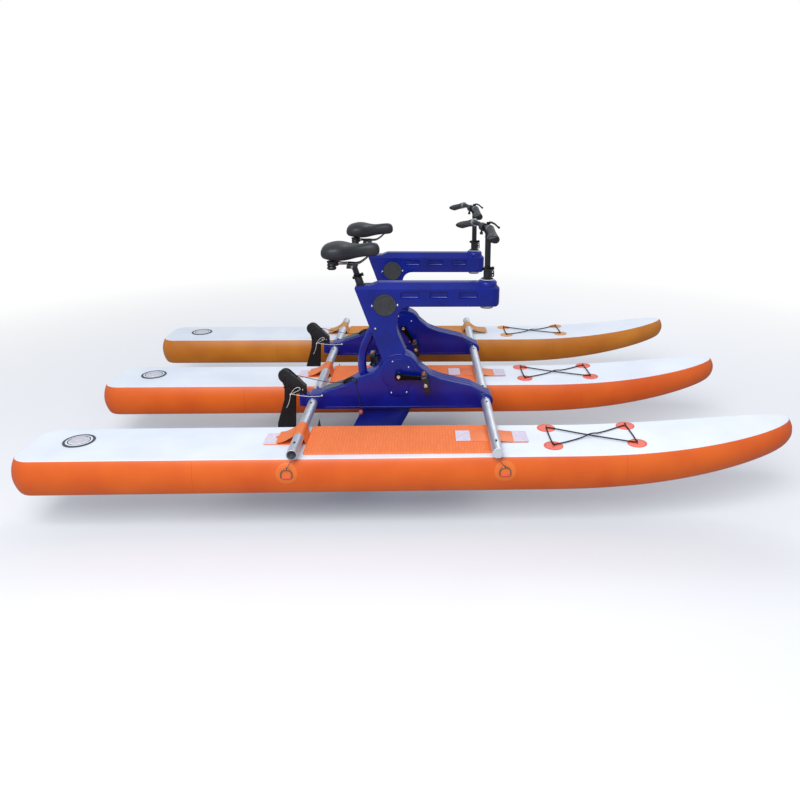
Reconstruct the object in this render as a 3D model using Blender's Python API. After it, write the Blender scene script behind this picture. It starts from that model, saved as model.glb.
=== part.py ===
"""Inflatable pedal boat: three drop-stitch hulls, two aluminium crossbars and two pedal frames.

X points to the bow, Y to port and Z up. The origin is on the flat underside of the centre hull.
Each frame carries a crank, a bevel drive down its leg to a propeller, a seat on a post,
a steering column and a kick-up rudder.
"""
import math

import bmesh
import bpy
from mathutils import Matrix, Vector

# Hulls
HULL_LENGTH = 3.300
HULL_THICKNESS = 0.155
DECK_WIDTH = 0.320
SIDE_BULGE = 0.022
HULL_SPACING = 0.860
STERN_CORNER = 0.080
BOW_TAPER_START = 0.850
ROCKER_START = 0.600
ROCKER_RATE = 0.130
BOW_THINNING = 0.300
VALVE_RADIUS = 0.065
VALVE_FROM_STERN = 0.200
PATCH_RADIUS = 0.042
PATCH_THICKNESS = 0.002
PATCH_AFT_X = 0.600
PATCH_FORE_X = 0.965
PATCH_HALF_SPAN = 0.093
DECK_SHIFT = 0.030

# Crossbars and what fastens the hulls to them
BAR_RADIUS = 0.0225
BAR_WALL = 0.0030
REAR_BAR_X = -0.496
FRONT_BAR_X = 0.345
BAR_OVERHANG = 0.195
SNAP_PIN_RADIUS = 0.0045
SNAP_PIN_RISE = 0.006
PIN_FROM_BOSS = 0.013
BAR_HOLE_RADIUS = 0.0045
PAD_WIDTH = 0.280
PAD_THICKNESS = 0.007
PAD_UNDER_BAR = 0.012
STRAP_WIDTH = 0.115
STRAP_THICKNESS = 0.0022
STRAP_FLAP = 0.130
STRAP_FOLD = 0.012
RING_PATCH_RADIUS = 0.045
RING_RADIUS = 0.022
RING_WIRE = 0.0022
BUNGEE_RADIUS = 0.003

# Pedal frame
FRAME_WIDTH = 0.100
FRAME_EDGE = 0.007
BOSS_RADIUS = 0.037
BOSS_PROUD = 0.004
ARM_TOP = 0.777
ARM_SHOULDER = 0.748
ARM_BOTTOM = 0.663
ARM_FRONT = 0.402
ARM_END_X = 0.352
ARM_CHAMFER = 0.026
POCKET_LENGTH = 0.087
POCKET_HEIGHT = 0.032
POCKET_DEPTH = 0.012
POCKET_MIDDLES = (-0.022, 0.114, 0.253)
POCKET_BOTTOM = 0.704
HEAD_BOSS_RADIUS = 0.046
HEAD_BOSS_RISE = 0.010
REAR_SLOPE = ((-0.455, 0.238), (-0.339, 0.277), (-0.272, 0.316))
HATCH_X = -0.140
HATCH_Z = 0.672
HATCH_RADIUS = 0.0535
HATCH_DEPTH = 0.005

# Crank and bevel drive
CRANK_X = -0.079
CRANK_Z = 0.328
CRANK_LENGTH = 0.130
CRANK_THICKNESS = 0.014
CRANK_STANDOFF = 0.073
SPINDLE_RADIUS = 0.0115
PEDAL_LENGTH = 0.092
PEDAL_WIDTH = 0.095
PEDAL_THICKNESS = 0.026
PEDAL_AXLE_RADIUS = 0.006
COVER_RADIUS = 0.078
COVER_THICKNESS = 0.005
GEAR_CHAMBER_RADIUS = 0.052
DRIVER_CHAMBER_RADIUS = 0.0200
SHAFT_LEAN = math.radians(26.0)
SHAFT_RADIUS = 0.0068
SHAFT_BORE_RADIUS = 0.0105
PROP_AXIS_Z = -0.040
CROWN_TEETH = 24
PINION_TEETH = 8
DRIVER_TEETH = 16
PROP_GEAR_TEETH = 8
CROWN_PITCH_RADIUS = 0.036
PROP_GEAR_PITCH_RADIUS = 0.008
PROP_SHAFT_RADIUS = 0.0040
PROP_BLADES = 3
PROP_RADIUS = 0.119
PROP_X = -0.478
LEG_CHORD = 0.240
LEG_THICKNESS = 0.058
LEG_BOTTOM = -0.075
POD_RADIUS = 0.030

# Seat
SEAT_LEAN = math.radians(17.0)
SEAT_TUBE_X = -0.2535
SEAT_TUBE_Z = 0.755
SEAT_POST_RADIUS = 0.0136
SEAT_TUBE_WALL = 0.0045
SEAT_POST_LENGTH = 0.250
SADDLE_LENGTH = 0.268
SADDLE_WIDTH = 0.196
SADDLE_BEHIND = 0.144

# Steering
HEAD_X = 0.344
STEER_ANGLE = math.radians(12.4)
STEM_RADIUS = 0.0138
STEERER_RADIUS = 0.0185
COLLAR_RADIUS = 0.0210
COLLAR_TOP = 0.845
BAR_HEIGHT = 1.034
BAR_SETBACK = 0.022
HANDLEBAR_HALF = 0.270
HANDLEBAR_RADIUS = 0.0111
GRIP_START = 0.125
GRIP_RADIUS = 0.0165
LEVER_REACH = 0.140
LEVER_HUB = 0.0060

# Rudder
YAW_X = -0.548
YAW_PIN_RADIUS = 0.0046
RUDDER_PIVOT_X = -0.636
RUDDER_PIVOT_Z = 0.302
RUDDER_AXLE_RADIUS = 0.0045
RUDDER_CHEEK_RADIUS = 0.036
RUDDER_HEAD_WIDTH = 0.026
RUDDER_SLOT = 0.0134
RUDDER_BLADE_THICKNESS = 0.0120
RUDDER_TIP_Z = -0.170
STUB_TOP = 0.214
LIFT_CORD_RADIUS = 0.0016
BALL_RADIUS = 0.011
FAIRLEAD_BORE = 0.0040
FAIRLEAD_RADIUS = 0.0075

# Clearances
GAP = 0.0003
RUNNING_GAP = 0.0005

# Sizes that follow from the ones above
BAR_Z = HULL_THICKNESS + PAD_THICKNESS + STRAP_THICKNESS + 2 * GAP + BAR_RADIUS
FRAME_BOTTOM = BAR_Z - BOSS_RADIUS
HALF_FRAME = FRAME_WIDTH / 2
BIKE_OFFSET = HULL_SPACING / 2
BAR_REACH = HULL_SPACING + BAR_OVERHANG
SEAT_TUBE_RADIUS = SEAT_POST_RADIUS + SEAT_TUBE_WALL
DECK_HALF = DECK_WIDTH / 2
SHAFT_DOWN = Vector((-math.sin(SHAFT_LEAN), 0.0, -math.cos(SHAFT_LEAN)))
CRANK_CENTRE = Vector((CRANK_X, 0.0, CRANK_Z))
LOWER_APEX = CRANK_CENTRE + SHAFT_DOWN * ((CRANK_Z - PROP_AXIS_Z) / math.cos(SHAFT_LEAN))
SEAT_AXIS = Vector((-math.sin(SEAT_LEAN), 0.0, math.cos(SEAT_LEAN)))
SEAT_MOUTH = Vector((SEAT_TUBE_X, 0.0, SEAT_TUBE_Z))
ROUND = 16


def clear_scene():
    """Remove every object of the open file."""
    for item in list(bpy.data.objects):
        bpy.data.objects.remove(item, do_unlink=True)


def srgb(hex_colour):
    """Turn an sRGB hex colour into linear RGBA."""
    values = []
    for start in (0, 2, 4):
        value = int(hex_colour[start:start + 2], 16) / 255
        values.append(value / 12.92 if value <= 0.04045 else ((value + 0.055) / 1.055) ** 2.4)
    return (*values, 1.0)


def make_material(name, hex_colour, roughness, metallic=0.0):
    """A plain Principled material."""
    result = bpy.data.materials.new(name)
    result.use_nodes = True
    shader = result.node_tree.nodes["Principled BSDF"]
    shader.inputs["Base Color"].default_value = srgb(hex_colour)
    shader.inputs["Roughness"].default_value = roughness
    shader.inputs["Metallic"].default_value = metallic
    return result


# Outlines

def arc(centre, radius, start, end, count):
    """Points on an arc, angles in degrees."""
    points = []
    for step in range(count + 1):
        angle = math.radians(start + (end - start) * step / count)
        points.append((centre[0] + radius * math.cos(angle), centre[1] + radius * math.sin(angle)))
    return points


def rounded(corners, finest=30.0):
    """Closed outline through corners given as (x, y, fillet radius), a point every 30 degrees or so."""
    points = []
    total = len(corners)
    for index, (x, y, radius) in enumerate(corners):
        here = Vector((x, y))
        back = Vector(corners[index - 1][:2]) - here
        ahead = Vector(corners[(index + 1) % total][:2]) - here
        if radius <= 0:
            points.append((x, y))
            continue
        half = back.angle(ahead) / 2
        reach = min(radius / math.tan(half), 0.48 * back.length, 0.48 * ahead.length)
        first = here + back.normalized() * reach
        last = here + ahead.normalized() * reach
        steps = max(1, round((180 - 2 * math.degrees(half)) / finest))
        for step in range(steps + 1):
            t = step / steps
            spot = first * (1 - t) ** 2 + here * (2 * t * (1 - t)) + last * t ** 2
            points.append((spot.x, spot.y))
    return points


def ribbon(path, thickness):
    """Closed outline of a strip of even thickness; the path is its lower or inner face."""
    upper = []
    for index, (x, z) in enumerate(path):
        before = Vector(path[max(index - 1, 0)])
        after = Vector(path[min(index + 1, len(path) - 1)])
        along = (after - before).normalized()
        upper.append((x - along.y * thickness, z + along.x * thickness))
    return list(path) + upper[::-1]


# Solids

def closed(bm):
    """Merge what touches and point every face outwards."""
    bmesh.ops.remove_doubles(bm, verts=bm.verts, dist=1e-7)
    bmesh.ops.recalc_face_normals(bm, faces=bm.faces)
    return bm


def loft(rings, cap=True):
    """Skin rings of equal length; the first and last are capped."""
    bm = bmesh.new()
    loops = [[bm.verts.new(point) for point in ring] for ring in rings]
    size = len(rings[0])
    for lower, upper in zip(loops, loops[1:]):
        for index in range(size):
            follow = (index + 1) % size
            bm.faces.new((lower[index], lower[follow], upper[follow], upper[index]))
    if cap:
        bm.faces.new(loops[0][::-1])
        bm.faces.new(loops[-1])
    return closed(bm)


def prism(outline, low, high, axis="Y"):
    """Extrude a closed outline along an axis. Y takes (x, z), X takes (y, z), Z takes (x, y)."""
    place = {
        "X": lambda p, depth: (depth, p[0], p[1]),
        "Y": lambda p, depth: (p[0], depth, p[1]),
        "Z": lambda p, depth: (p[0], p[1], depth),
    }[axis]
    return loft([[place(point, depth) for point in outline] for depth in (low, high)])


def inset(outline, distance):
    """Closed outline moved inwards."""
    points = [Vector(point) for point in outline]
    area = sum(a.x * b.y - b.x * a.y for a, b in zip(points, points[1:] + points[:1]))
    inwards = 1 if area > 0 else -1
    result = []
    for index, here in enumerate(points):
        before = (here - points[index - 1]).normalized()
        after = (points[(index + 1) % len(points)] - here).normalized()
        normal = Vector((-before.y - after.y, before.x + after.x)).normalized() * inwards
        share = max(0.5, abs(normal.x * before.y - normal.y * before.x))
        result.append(tuple(here + normal * (distance / share)))
    return result


def rimmed(outline, low, high, edge, axis="Y", steps=1):
    """Extruded outline whose two rims are rounded."""
    levels = []
    for step in range(steps + 1):
        angle = math.pi / 2 * step / steps
        levels.append((edge * (1 - math.sin(angle)), edge * (1 - math.cos(angle))))
    place = {
        "Y": lambda p, depth: (p[0], depth, p[1]),
        "Z": lambda p, depth: (p[0], p[1], depth),
    }[axis]
    rings = [[place(point, low + depth) for point in inset(outline, back)] for back, depth in levels]
    for back, depth in reversed(levels):
        rings.append([place(point, high - depth) for point in inset(outline, back)])
    return loft(rings)


def frame_of(direction):
    """Rotation that takes +Z to a direction and keeps +X as near as it can to world +X or +Y."""
    z_axis = Vector(direction).normalized()
    hint = Vector((1, 0, 0)) if abs(z_axis.x) < 0.9 else Vector((0, 1, 0))
    y_axis = z_axis.cross(hint).normalized()
    x_axis = y_axis.cross(z_axis)
    return Matrix((x_axis, y_axis, z_axis)).transposed()


def turned(profile, start, direction, sides=ROUND):
    """Turned solid or tube: profile of (radius, height) pairs, closed on the axis or on itself."""
    turn = frame_of(direction)
    start = Vector(start)
    rings = []
    for radius, height in profile:
        ring = []
        for index in range(sides):
            angle = 2 * math.pi * index / sides
            local = Vector((radius * math.cos(angle), radius * math.sin(angle), height))
            ring.append(start + turn @ local)
        rings.append(ring)
    return rings


def rod(start, end, radius, end_radius=None, sides=ROUND):
    """Cylinder or cone between two points."""
    start, end = Vector(start), Vector(end)
    length = (end - start).length
    last = radius if end_radius is None else end_radius
    return loft(turned([(radius, 0.0), (last, length)], start, end - start, sides))


def lathe(profile, start, direction, sides=ROUND):
    """Turned solid with flat ends from a profile of (radius, height) pairs."""
    return loft(turned(profile, start, direction, sides))


def tube(start, end, outer, inner, sides=ROUND):
    """Open tube between two points."""
    start, end = Vector(start), Vector(end)
    length = (end - start).length
    profile = [(outer, 0.0), (outer, length), (inner, length), (inner, 0.0), (outer, 0.0)]
    return loft(turned(profile, start, end - start, sides), cap=False)


def sweep(points, radii, sides=8, squash=1.0):
    """Round or flattened bar along a path in space."""
    points = [Vector(point) for point in points]
    if not isinstance(radii, (list, tuple)):
        radii = [radii] * len(points)
    rings = []
    side = None
    for index, point in enumerate(points):
        ahead = points[min(index + 1, len(points) - 1)] - points[max(index - 1, 0)]
        ahead.normalize()
        if side is None:
            side = ahead.cross(Vector((0, 0, 1)))
            if side.length < 1e-3:
                side = ahead.cross(Vector((0, 1, 0)))
        side = (side - ahead * side.dot(ahead)).normalized()
        up = side.cross(ahead)
        ring = []
        for step in range(sides):
            angle = 2 * math.pi * (step + 0.5) / sides
            offset = side * math.cos(angle) + up * (math.sin(angle) * squash)
            ring.append(point + offset * radii[index])
        rings.append(ring)
    return loft(rings)


def combine(body, tool, operation):
    """Boolean of two closed meshes; both are used up."""
    work = []
    for bm in (body, tool):
        mesh = bpy.data.meshes.new("work")
        bm.to_mesh(mesh)
        bm.free()
        item = bpy.data.objects.new("work", mesh)
        bpy.context.scene.collection.objects.link(item)
        work.append(item)
    modifier = work[0].modifiers.new("combine", "BOOLEAN")
    modifier.operation = operation
    modifier.object = work[1]
    modifier.solver = "EXACT"
    result = bmesh.new()
    result.from_object(work[0], bpy.context.evaluated_depsgraph_get())
    for item in work:
        mesh = item.data
        bpy.data.objects.remove(item, do_unlink=True)
        bpy.data.meshes.remove(mesh)
    bmesh.ops.remove_doubles(result, verts=result.verts, dist=1e-6)
    bmesh.ops.dissolve_degenerate(result, dist=1e-6, edges=result.edges)
    return result


def join(body, *tools):
    """Union of a body with each tool."""
    for tool in tools:
        body = combine(body, tool, "UNION")
    return body


def cut(body, *tools):
    """The body less each tool."""
    for tool in tools:
        body = combine(body, tool, "DIFFERENCE")
    return body


def moved(bm, offset):
    """Shift a mesh."""
    bmesh.ops.translate(bm, verts=bm.verts, vec=Vector(offset))
    return bm


def turned_about(bm, centre, axis, angle):
    """Turn a mesh about a line through a point."""
    turn = Matrix.Rotation(angle, 3, Vector(axis))
    bmesh.ops.rotate(bm, verts=bm.verts, cent=Vector(centre), matrix=turn)
    return bm


def mirrored(bm):
    """Mirror a mesh in Y."""
    bmesh.ops.scale(bm, verts=bm.verts, vec=(1, -1, 1))
    return closed(bm)


# World origin of each node made so far, for the nodes that hang on it
ORIGINS = {}


def node(name, bm, material, y=0.0, origin=(0, 0, 0), parent=None):
    """Make the object of one sub-part. The mesh and the origin are given beside the line at y."""
    origin = Vector(origin)
    bmesh.ops.translate(bm, verts=bm.verts, vec=-origin)
    mesh = bpy.data.meshes.new(name)
    bm.to_mesh(mesh)
    bm.free()
    mesh.shade_smooth()
    mesh.set_sharp_from_angle(angle=math.radians(35))
    mesh.materials.append(material)
    item = bpy.data.objects.new(name, mesh)
    bpy.context.scene.collection.objects.link(item)
    world = origin + Vector((0, y, 0))
    ORIGINS[name] = world
    if parent is not None:
        item.parent = bpy.data.objects[parent]
        item.location = world - ORIGINS[parent]
    else:
        item.location = world
    return item


# Hull form

def rocker(x):
    """Height of the hull's underside above its flat run."""
    return ROCKER_RATE * max(0.0, x - ROCKER_START) ** 2


def thickness(x):
    """Hull thickness, thinner towards the bow."""
    run = max(0.0, x - ROCKER_START) / (HULL_LENGTH / 2 - ROCKER_START)
    return HULL_THICKNESS * (1 - BOW_THINNING * run ** 1.5)


def deck_z(x):
    """Height of the deck at a station."""
    return rocker(x) + thickness(x)


def deck_half(x):
    """Half width of the deck at a station."""
    from_stern = x + HULL_LENGTH / 2
    if from_stern < STERN_CORNER:
        inside = max(0.0, STERN_CORNER ** 2 - (STERN_CORNER - from_stern) ** 2)
        return DECK_HALF - STERN_CORNER + math.sqrt(inside)
    if x > BOW_TAPER_START:
        run = (x - BOW_TAPER_START) / (HULL_LENGTH / 2 - BOW_TAPER_START)
        return DECK_HALF * math.sqrt(max(0.0, 1 - run ** 2.1))
    return DECK_HALF


def hull_stations():
    """Places along the hull, close together where it curves."""
    half = HULL_LENGTH / 2
    stations = [-half + STERN_CORNER * (1 - math.cos(math.radians(a))) for a in (0, 30, 60, 90)]
    stations += [REAR_BAR_X, FRONT_BAR_X, ROCKER_START]
    bow = half - BOW_TAPER_START
    for angle in (0, 22, 38, 51, 62, 71, 79, 86):
        stations.append(BOW_TAPER_START + bow * math.sin(math.radians(angle)))
    return stations


def deck_surface(x):
    """Height of the faceted deck, which is straight between stations."""
    stations = hull_stations()
    for low, high in zip(stations, stations[1:]):
        if low <= x <= high:
            return deck_z(low) + (deck_z(high) - deck_z(low)) * (x - low) / (high - low)
    return deck_z(x)


def hull_body():
    """One closed hull about y = 0: flat deck and bottom with a bulging side wall."""
    stations = hull_stations()
    plan = [(x, -deck_half(x)) for x in stations] + [(x, deck_half(x)) for x in reversed(stations)]
    count = len(plan)
    outward = []
    for index, (x, y) in enumerate(plan):
        before, after = Vector(plan[index - 1]), Vector(plan[(index + 1) % count])
        along = (after - before).normalized()
        outward.append(Vector((along.y, -along.x)))
    rings = []
    levels = 5
    for level in range(levels + 1):
        share = 0.5 - 0.5 * math.cos(math.pi * level / levels)
        bulge = SIDE_BULGE * math.sin(math.pi * share) ** 0.75 if 0 < level < levels else 0.0
        ring = []
        for (x, y), out in zip(plan, outward):
            height = rocker(x) + thickness(x) * share
            ring.append((x + out.x * bulge, y + out.y * bulge, height))
        rings.append(ring)
    bm = loft(rings, cap=False)
    bm.verts.ensure_lookup_table()
    half = len(stations)
    for ring_start in (0, levels * count):
        for index in range(half - 1):
            corners = (index, index + 1, count - 2 - index, count - 1 - index)
            bm.faces.new([bm.verts[ring_start + corner] for corner in corners])
    return closed(bm)


def deck_disc(x, y, radius, height, sides=12):
    """Disc that lies on the deck and reaches a little into it."""
    slope = (deck_surface(x + 0.01) - deck_surface(x - 0.01)) / 0.02
    normal = Vector((-slope, 0, 1)).normalized()
    foot = Vector((x, y, deck_surface(x)))
    return rod(foot - normal * 0.003, foot + normal * height, radius, sides=sides)


def d_ring(x, side):
    """Welded patch with a D-ring on the hull's outer wall."""
    wall = DECK_HALF + SIDE_BULGE
    height = HULL_THICKNESS * 0.62
    patch = rod((x, side * (wall - 0.008), height), (x, side * (wall + 0.002), height),
                RING_PATCH_RADIUS, sides=12)
    out = side * (wall + 0.0015 + RING_WIRE * 0.6)
    path = [(across, out, up) for across, up in arc((x, height), RING_RADIUS, -20, 196, 8)]
    ring = sweep(path, RING_WIRE, sides=5)
    return join(patch, ring)


def patch_places():
    """The four bungee patches of a hull, in the order in which the cord meets them."""
    return [(PATCH_AFT_X, DECK_SHIFT - PATCH_HALF_SPAN), (PATCH_AFT_X, DECK_SHIFT + PATCH_HALF_SPAN),
            (PATCH_FORE_X, DECK_SHIFT - PATCH_HALF_SPAN), (PATCH_FORE_X, DECK_SHIFT + PATCH_HALF_SPAN)]


def build_hull(name, y, material, outer_side):
    """One hull with valve, bungee patches and, on an outer hull, two D-rings."""
    body = hull_body()
    valve_x = -HULL_LENGTH / 2 + VALVE_FROM_STERN
    body = join(body, deck_disc(valve_x, DECK_SHIFT, VALVE_RADIUS, 0.004, 16))
    body = join(body, deck_disc(valve_x, DECK_SHIFT, VALVE_RADIUS * 0.55, 0.009, 12))
    for x, across in patch_places():
        body = join(body, deck_disc(x, across, PATCH_RADIUS, PATCH_THICKNESS))
    if outer_side:
        for x in (REAR_BAR_X - 0.028, FRONT_BAR_X + 0.034):
            body = join(body, d_ring(x, outer_side))
    node(name, body, material, y)


def cord_object(name, y, material, radius, spots, cyclic=False):
    """Round cord through (point, share of the radius) pairs."""
    curve = bpy.data.curves.new(name, "CURVE")
    curve.dimensions = "3D"
    curve.bevel_depth = radius
    curve.bevel_resolution = 2
    curve.use_fill_caps = not cyclic
    spline = curve.splines.new("POLY")
    spline.points.add(len(spots) - 1)
    for target, (spot, share) in zip(spline.points, spots):
        target.co = (*spot, 1.0)
        target.radius = share
    spline.use_cyclic_u = cyclic
    curve.materials.append(material)
    item = bpy.data.objects.new(name, curve)
    item.location = (0, y, 0)
    bpy.context.scene.collection.objects.link(item)


def build_bungee(name, y, material):
    """Elastic cord laced in a cross over the four patches: a closed loop that passes over itself."""
    order = patch_places()
    lift = PATCH_THICKNESS + BUNGEE_RADIUS + 2 * GAP
    bend = 0.012
    spots = []
    for index in range(4):
        here = Vector((*order[index], 0))
        follow = Vector((*order[(index + 1) % 4], 0))
        back = (Vector((*order[index - 1], 0)) - here).normalized() * bend
        ahead = (follow - here).normalized() * bend
        spots += [here + back, here + back * 0.35 + ahead * 0.15]
        spots += [here + ahead * 0.35 + back * 0.15, here + ahead]
        if index % 2:
            # The two diagonals cross half way, the second one above the first
            hump = 2.2 * BUNGEE_RADIUS if index == 3 else 0.0
            for share, rise in ((0.38, 0.0), (0.5, hump), (0.62, 0.0)):
                spots.append(here.lerp(follow, share) + Vector((0, 0, rise)))
    spots = [(spot + Vector((0, 0, deck_surface(spot.x) + lift)), 1.0) for spot in spots]
    cord_object(name, y, material, BUNGEE_RADIUS, spots, True)


# Crossbars

def bar_section(x, inner, outer, holes, pins, capped):
    """One tube of a crossbar from inner to outer, with snap pins and adjusting holes."""
    low, high = min(inner, outer), max(inner, outer)
    body = tube((x, low, BAR_Z), (x, high, BAR_Z), BAR_RADIUS, BAR_RADIUS - BAR_WALL)
    if capped:
        end = outer - math.copysign(0.003, outer - inner)
        body = join(body, rod((x, end, BAR_Z), (x, outer, BAR_Z), BAR_RADIUS - BAR_WALL / 2))
    for place in pins:
        foot = Vector((x, place, BAR_Z + BAR_RADIUS - BAR_WALL * 0.7))
        tip = Vector((x, place, BAR_Z + BAR_RADIUS + SNAP_PIN_RISE))
        body = join(body, rod(foot, tip, SNAP_PIN_RADIUS, SNAP_PIN_RADIUS * 0.6, 8))
    for place in holes:
        above = (x, place, BAR_Z + 2 * BAR_RADIUS)
        body = cut(body, rod((x, place, BAR_Z), above, BAR_HOLE_RADIUS, sides=8))
    return body


def build_crossbars(material):
    """Two crossbars in three sections each; the sections meet inside the frame bosses."""
    for label, x in (("rear", REAR_BAR_X), ("front", FRONT_BAR_X)):
        face = BIKE_OFFSET + HALF_FRAME + BOSS_PROUD
        inner_face = BIKE_OFFSET - HALF_FRAME - BOSS_PROUD
        for side, sign in (("starboard", -1), ("port", 1)):
            body = bar_section(x, sign * (BIKE_OFFSET + GAP), sign * BAR_REACH,
                               [sign * (face + 0.055), sign * (BAR_REACH - 0.075)],
                               [sign * (face + PIN_FROM_BOSS)], label == "front")
            node("crossbar_%s_%s" % (label, side), body, material)
        reach = BIKE_OFFSET - GAP
        pins = [inner_face - PIN_FROM_BOSS, -(inner_face - PIN_FROM_BOSS)]
        holes = [inner_face - 0.055, -(inner_face - 0.055)]
        body = bar_section(x, -reach, reach, holes, pins, False)
        node("crossbar_%s_centre" % label, body, material)


def build_rear_strap(name, y, material):
    """Rear strap: a strip on the deck under the bar, folded over it and stuck down behind it."""
    deck = HULL_THICKNESS + GAP
    t = STRAP_THICKNESS
    x = REAR_BAR_X
    radius = BAR_RADIUS + 1.5 * GAP
    front = x + BAR_RADIUS + STRAP_FOLD - 0.002
    inner = [(x - STRAP_FLAP + 0.010, deck + t), (front, deck + t)]
    inner += arc((front, deck + t + 0.006), 0.006, -60, 60, 3)
    inner += arc((x, BAR_Z), radius, 30, 150, 8)
    inner += [(x - 0.052, deck + t + 0.017), (x - 0.085, deck + 2 * t + 0.0025),
              (x - STRAP_FLAP + 0.012, deck + 2 * t)]
    middle = y + DECK_SHIFT
    body = prism(ribbon(inner, -t), middle - STRAP_WIDTH / 2, middle + STRAP_WIDTH / 2)
    node(name, body, material)


def build_deck_pad(name, y, material, wrapped):
    """Ribbed foam pad between the bars, with the front bar's strap sewn on it."""
    deck = HULL_THICKNESS + GAP
    top = deck + PAD_THICKNESS
    aft = REAR_BAR_X + BAR_RADIUS + STRAP_FOLD + 0.010
    fore = FRONT_BAR_X - PAD_UNDER_BAR
    near = y + DECK_SHIFT * 0.4 - PAD_WIDTH / 2
    far = near + PAD_WIDTH
    corners = [(aft, near, 0.012), (fore, near, 0.012), (fore, far, 0.012), (aft, far, 0.012)]
    body = prism(rounded(corners, 45), deck, top, "Z")
    low, high = y + DECK_SHIFT - STRAP_WIDTH / 2, y + DECK_SHIFT + STRAP_WIDTH / 2
    t = STRAP_THICKNESS
    x = FRONT_BAR_X
    if wrapped:
        back = x - BAR_RADIUS - STRAP_FOLD
        inner = [(x + STRAP_FLAP, top + t), (back, top + t)]
        inner += arc((back, top + t + 0.006), 0.006, -120, -240, 3)
        inner += arc((x, BAR_Z), BAR_RADIUS + 1.5 * GAP, 150, 30, 8)
        inner += [(x + 0.050, top + 0.016), (x + 0.080, top + 2 * t + 0.0025),
                  (x + STRAP_FLAP, top + 2 * t + GAP)]
        strip = prism(ribbon(inner, t), low, high)
        seam = [(back, top - 0.001), (x + 0.02, top - 0.001),
                (x + 0.02, top + t * 0.5), (back, top + t * 0.5)]
        strip = join(strip, prism(seam, low + 0.002, high - 0.002))
    else:
        edge = top - 0.001
        outline = [(x - 0.165, edge), (fore, edge), (fore + 0.010, edge), (x + 0.155, edge),
                   (x + 0.155, top + t), (x - 0.165, top + t)]
        strip = prism(outline, low, high)
    body = join(body, strip)
    node(name, body, material)


# Pedal frame

def side_outline():
    """Side view of the moulded frame, counter-clockwise from the front boss."""
    rear = (REAR_BAR_X, BAR_Z)
    front = (FRONT_BAR_X, BAR_Z)
    radius = BOSS_RADIUS
    hump = 0.106
    outline = arc(front, radius, -90, 78, 5)
    outline += rounded([(FRONT_BAR_X - 0.010, BAR_Z + 0.050, 0.02), (0.268, 0.268, 0.06),
                        (0.128, 0.303, 0.12), (0.048, 0.336, 0.06)])[2:-1]
    outline += arc((CRANK_X, CRANK_Z), hump, 24, 76, 3)
    corners = [(-0.045, 0.445, 0.015), (-0.088, 0.545, 0.12), (-0.075, ARM_BOTTOM, 0.095),
               (ARM_FRONT, ARM_BOTTOM, 0.020), (ARM_FRONT + 0.002, ARM_TOP, 0.014),
               (-0.170, ARM_TOP, 0.030), (-0.203, 0.763, 0.010), (-0.284, 0.760, 0.012),
               (-0.154, 0.392, 0.030), (-0.192, 0.349, 0.030)]
    corners += [(*REAR_SLOPE[2], 0.050), (*REAR_SLOPE[1], 0.060), (*REAR_SLOPE[0], 0.040)]
    ring = [(0.0, 0.40, 0.0)] + corners + [(REAR_BAR_X, BAR_Z, 0.0)]
    outline += rounded(ring)[1:-1]
    outline += arc(rear, radius, 100, 270, 5)
    return outline


def gear(teeth, cone, distance, apex, direction, toward, phase):
    """Straight bevel gear whose teeth run to the apex. Toward is the direction of its mate's axis.

    Returned with its root radius and its height above the apex.
    """
    addendum, dedendum = math.radians(3.6), math.radians(4.8)
    axis = Vector(direction).normalized()
    across = Vector(toward) - axis * Vector(toward).dot(axis)
    across.normalize()
    third = axis.cross(across)
    pitch = 2 * math.pi / teeth
    height = distance * math.cos(cone)
    tip, root = height * math.tan(cone + addendum), height * math.tan(cone - dedendum)
    rings = []
    for scale in (0.70, 1.0):
        ring = []
        for tooth in range(teeth):
            middle = phase + tooth * pitch
            for shift, radius in ((-0.23, root), (-0.115, tip), (0.115, tip), (0.23, root)):
                angle = middle + shift * pitch
                offset = across * math.cos(angle) + third * math.sin(angle)
                ring.append(Vector(apex) + axis * (height * scale) + offset * (radius * scale))
        rings.append(ring)
    return loft(rings), root, height


def cone_angle(teeth, mate, shaft_angle):
    """Pitch cone angle of a bevel gear."""
    return math.atan2(math.sin(shaft_angle), mate / teeth + math.cos(shaft_angle))


def cover_outline(margin):
    """Round gearbox cover with its lower lug, grown by a margin."""
    radius = COVER_RADIUS + margin
    lug_half = 0.047 + margin
    lug_bottom = CRANK_Z - 0.112 - margin
    start = -math.degrees(math.acos(lug_half / radius)) if lug_half < radius else 0.0
    points = arc((CRANK_X, CRANK_Z), radius, start, 180 - start, 17)
    points += [(CRANK_X - lug_half, lug_bottom + 0.018), (CRANK_X - lug_half + 0.018, lug_bottom),
               (CRANK_X + lug_half - 0.018, lug_bottom), (CRANK_X + lug_half, lug_bottom + 0.018)]
    return points


def slope_height(x):
    """Height of the frame's rear slope."""
    first = 0 if x < REAR_SLOPE[1][0] else 1
    low, high = REAR_SLOPE[first], REAR_SLOPE[first + 1]
    return low[1] + (high[1] - low[1]) * (x - low[0]) / (high[0] - low[0])


def fairlead_end(x, y):
    """Centre of the fairlead's bore above the slope."""
    return Vector((x, y, slope_height(x) + FAIRLEAD_BORE + 0.0015))


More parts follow.
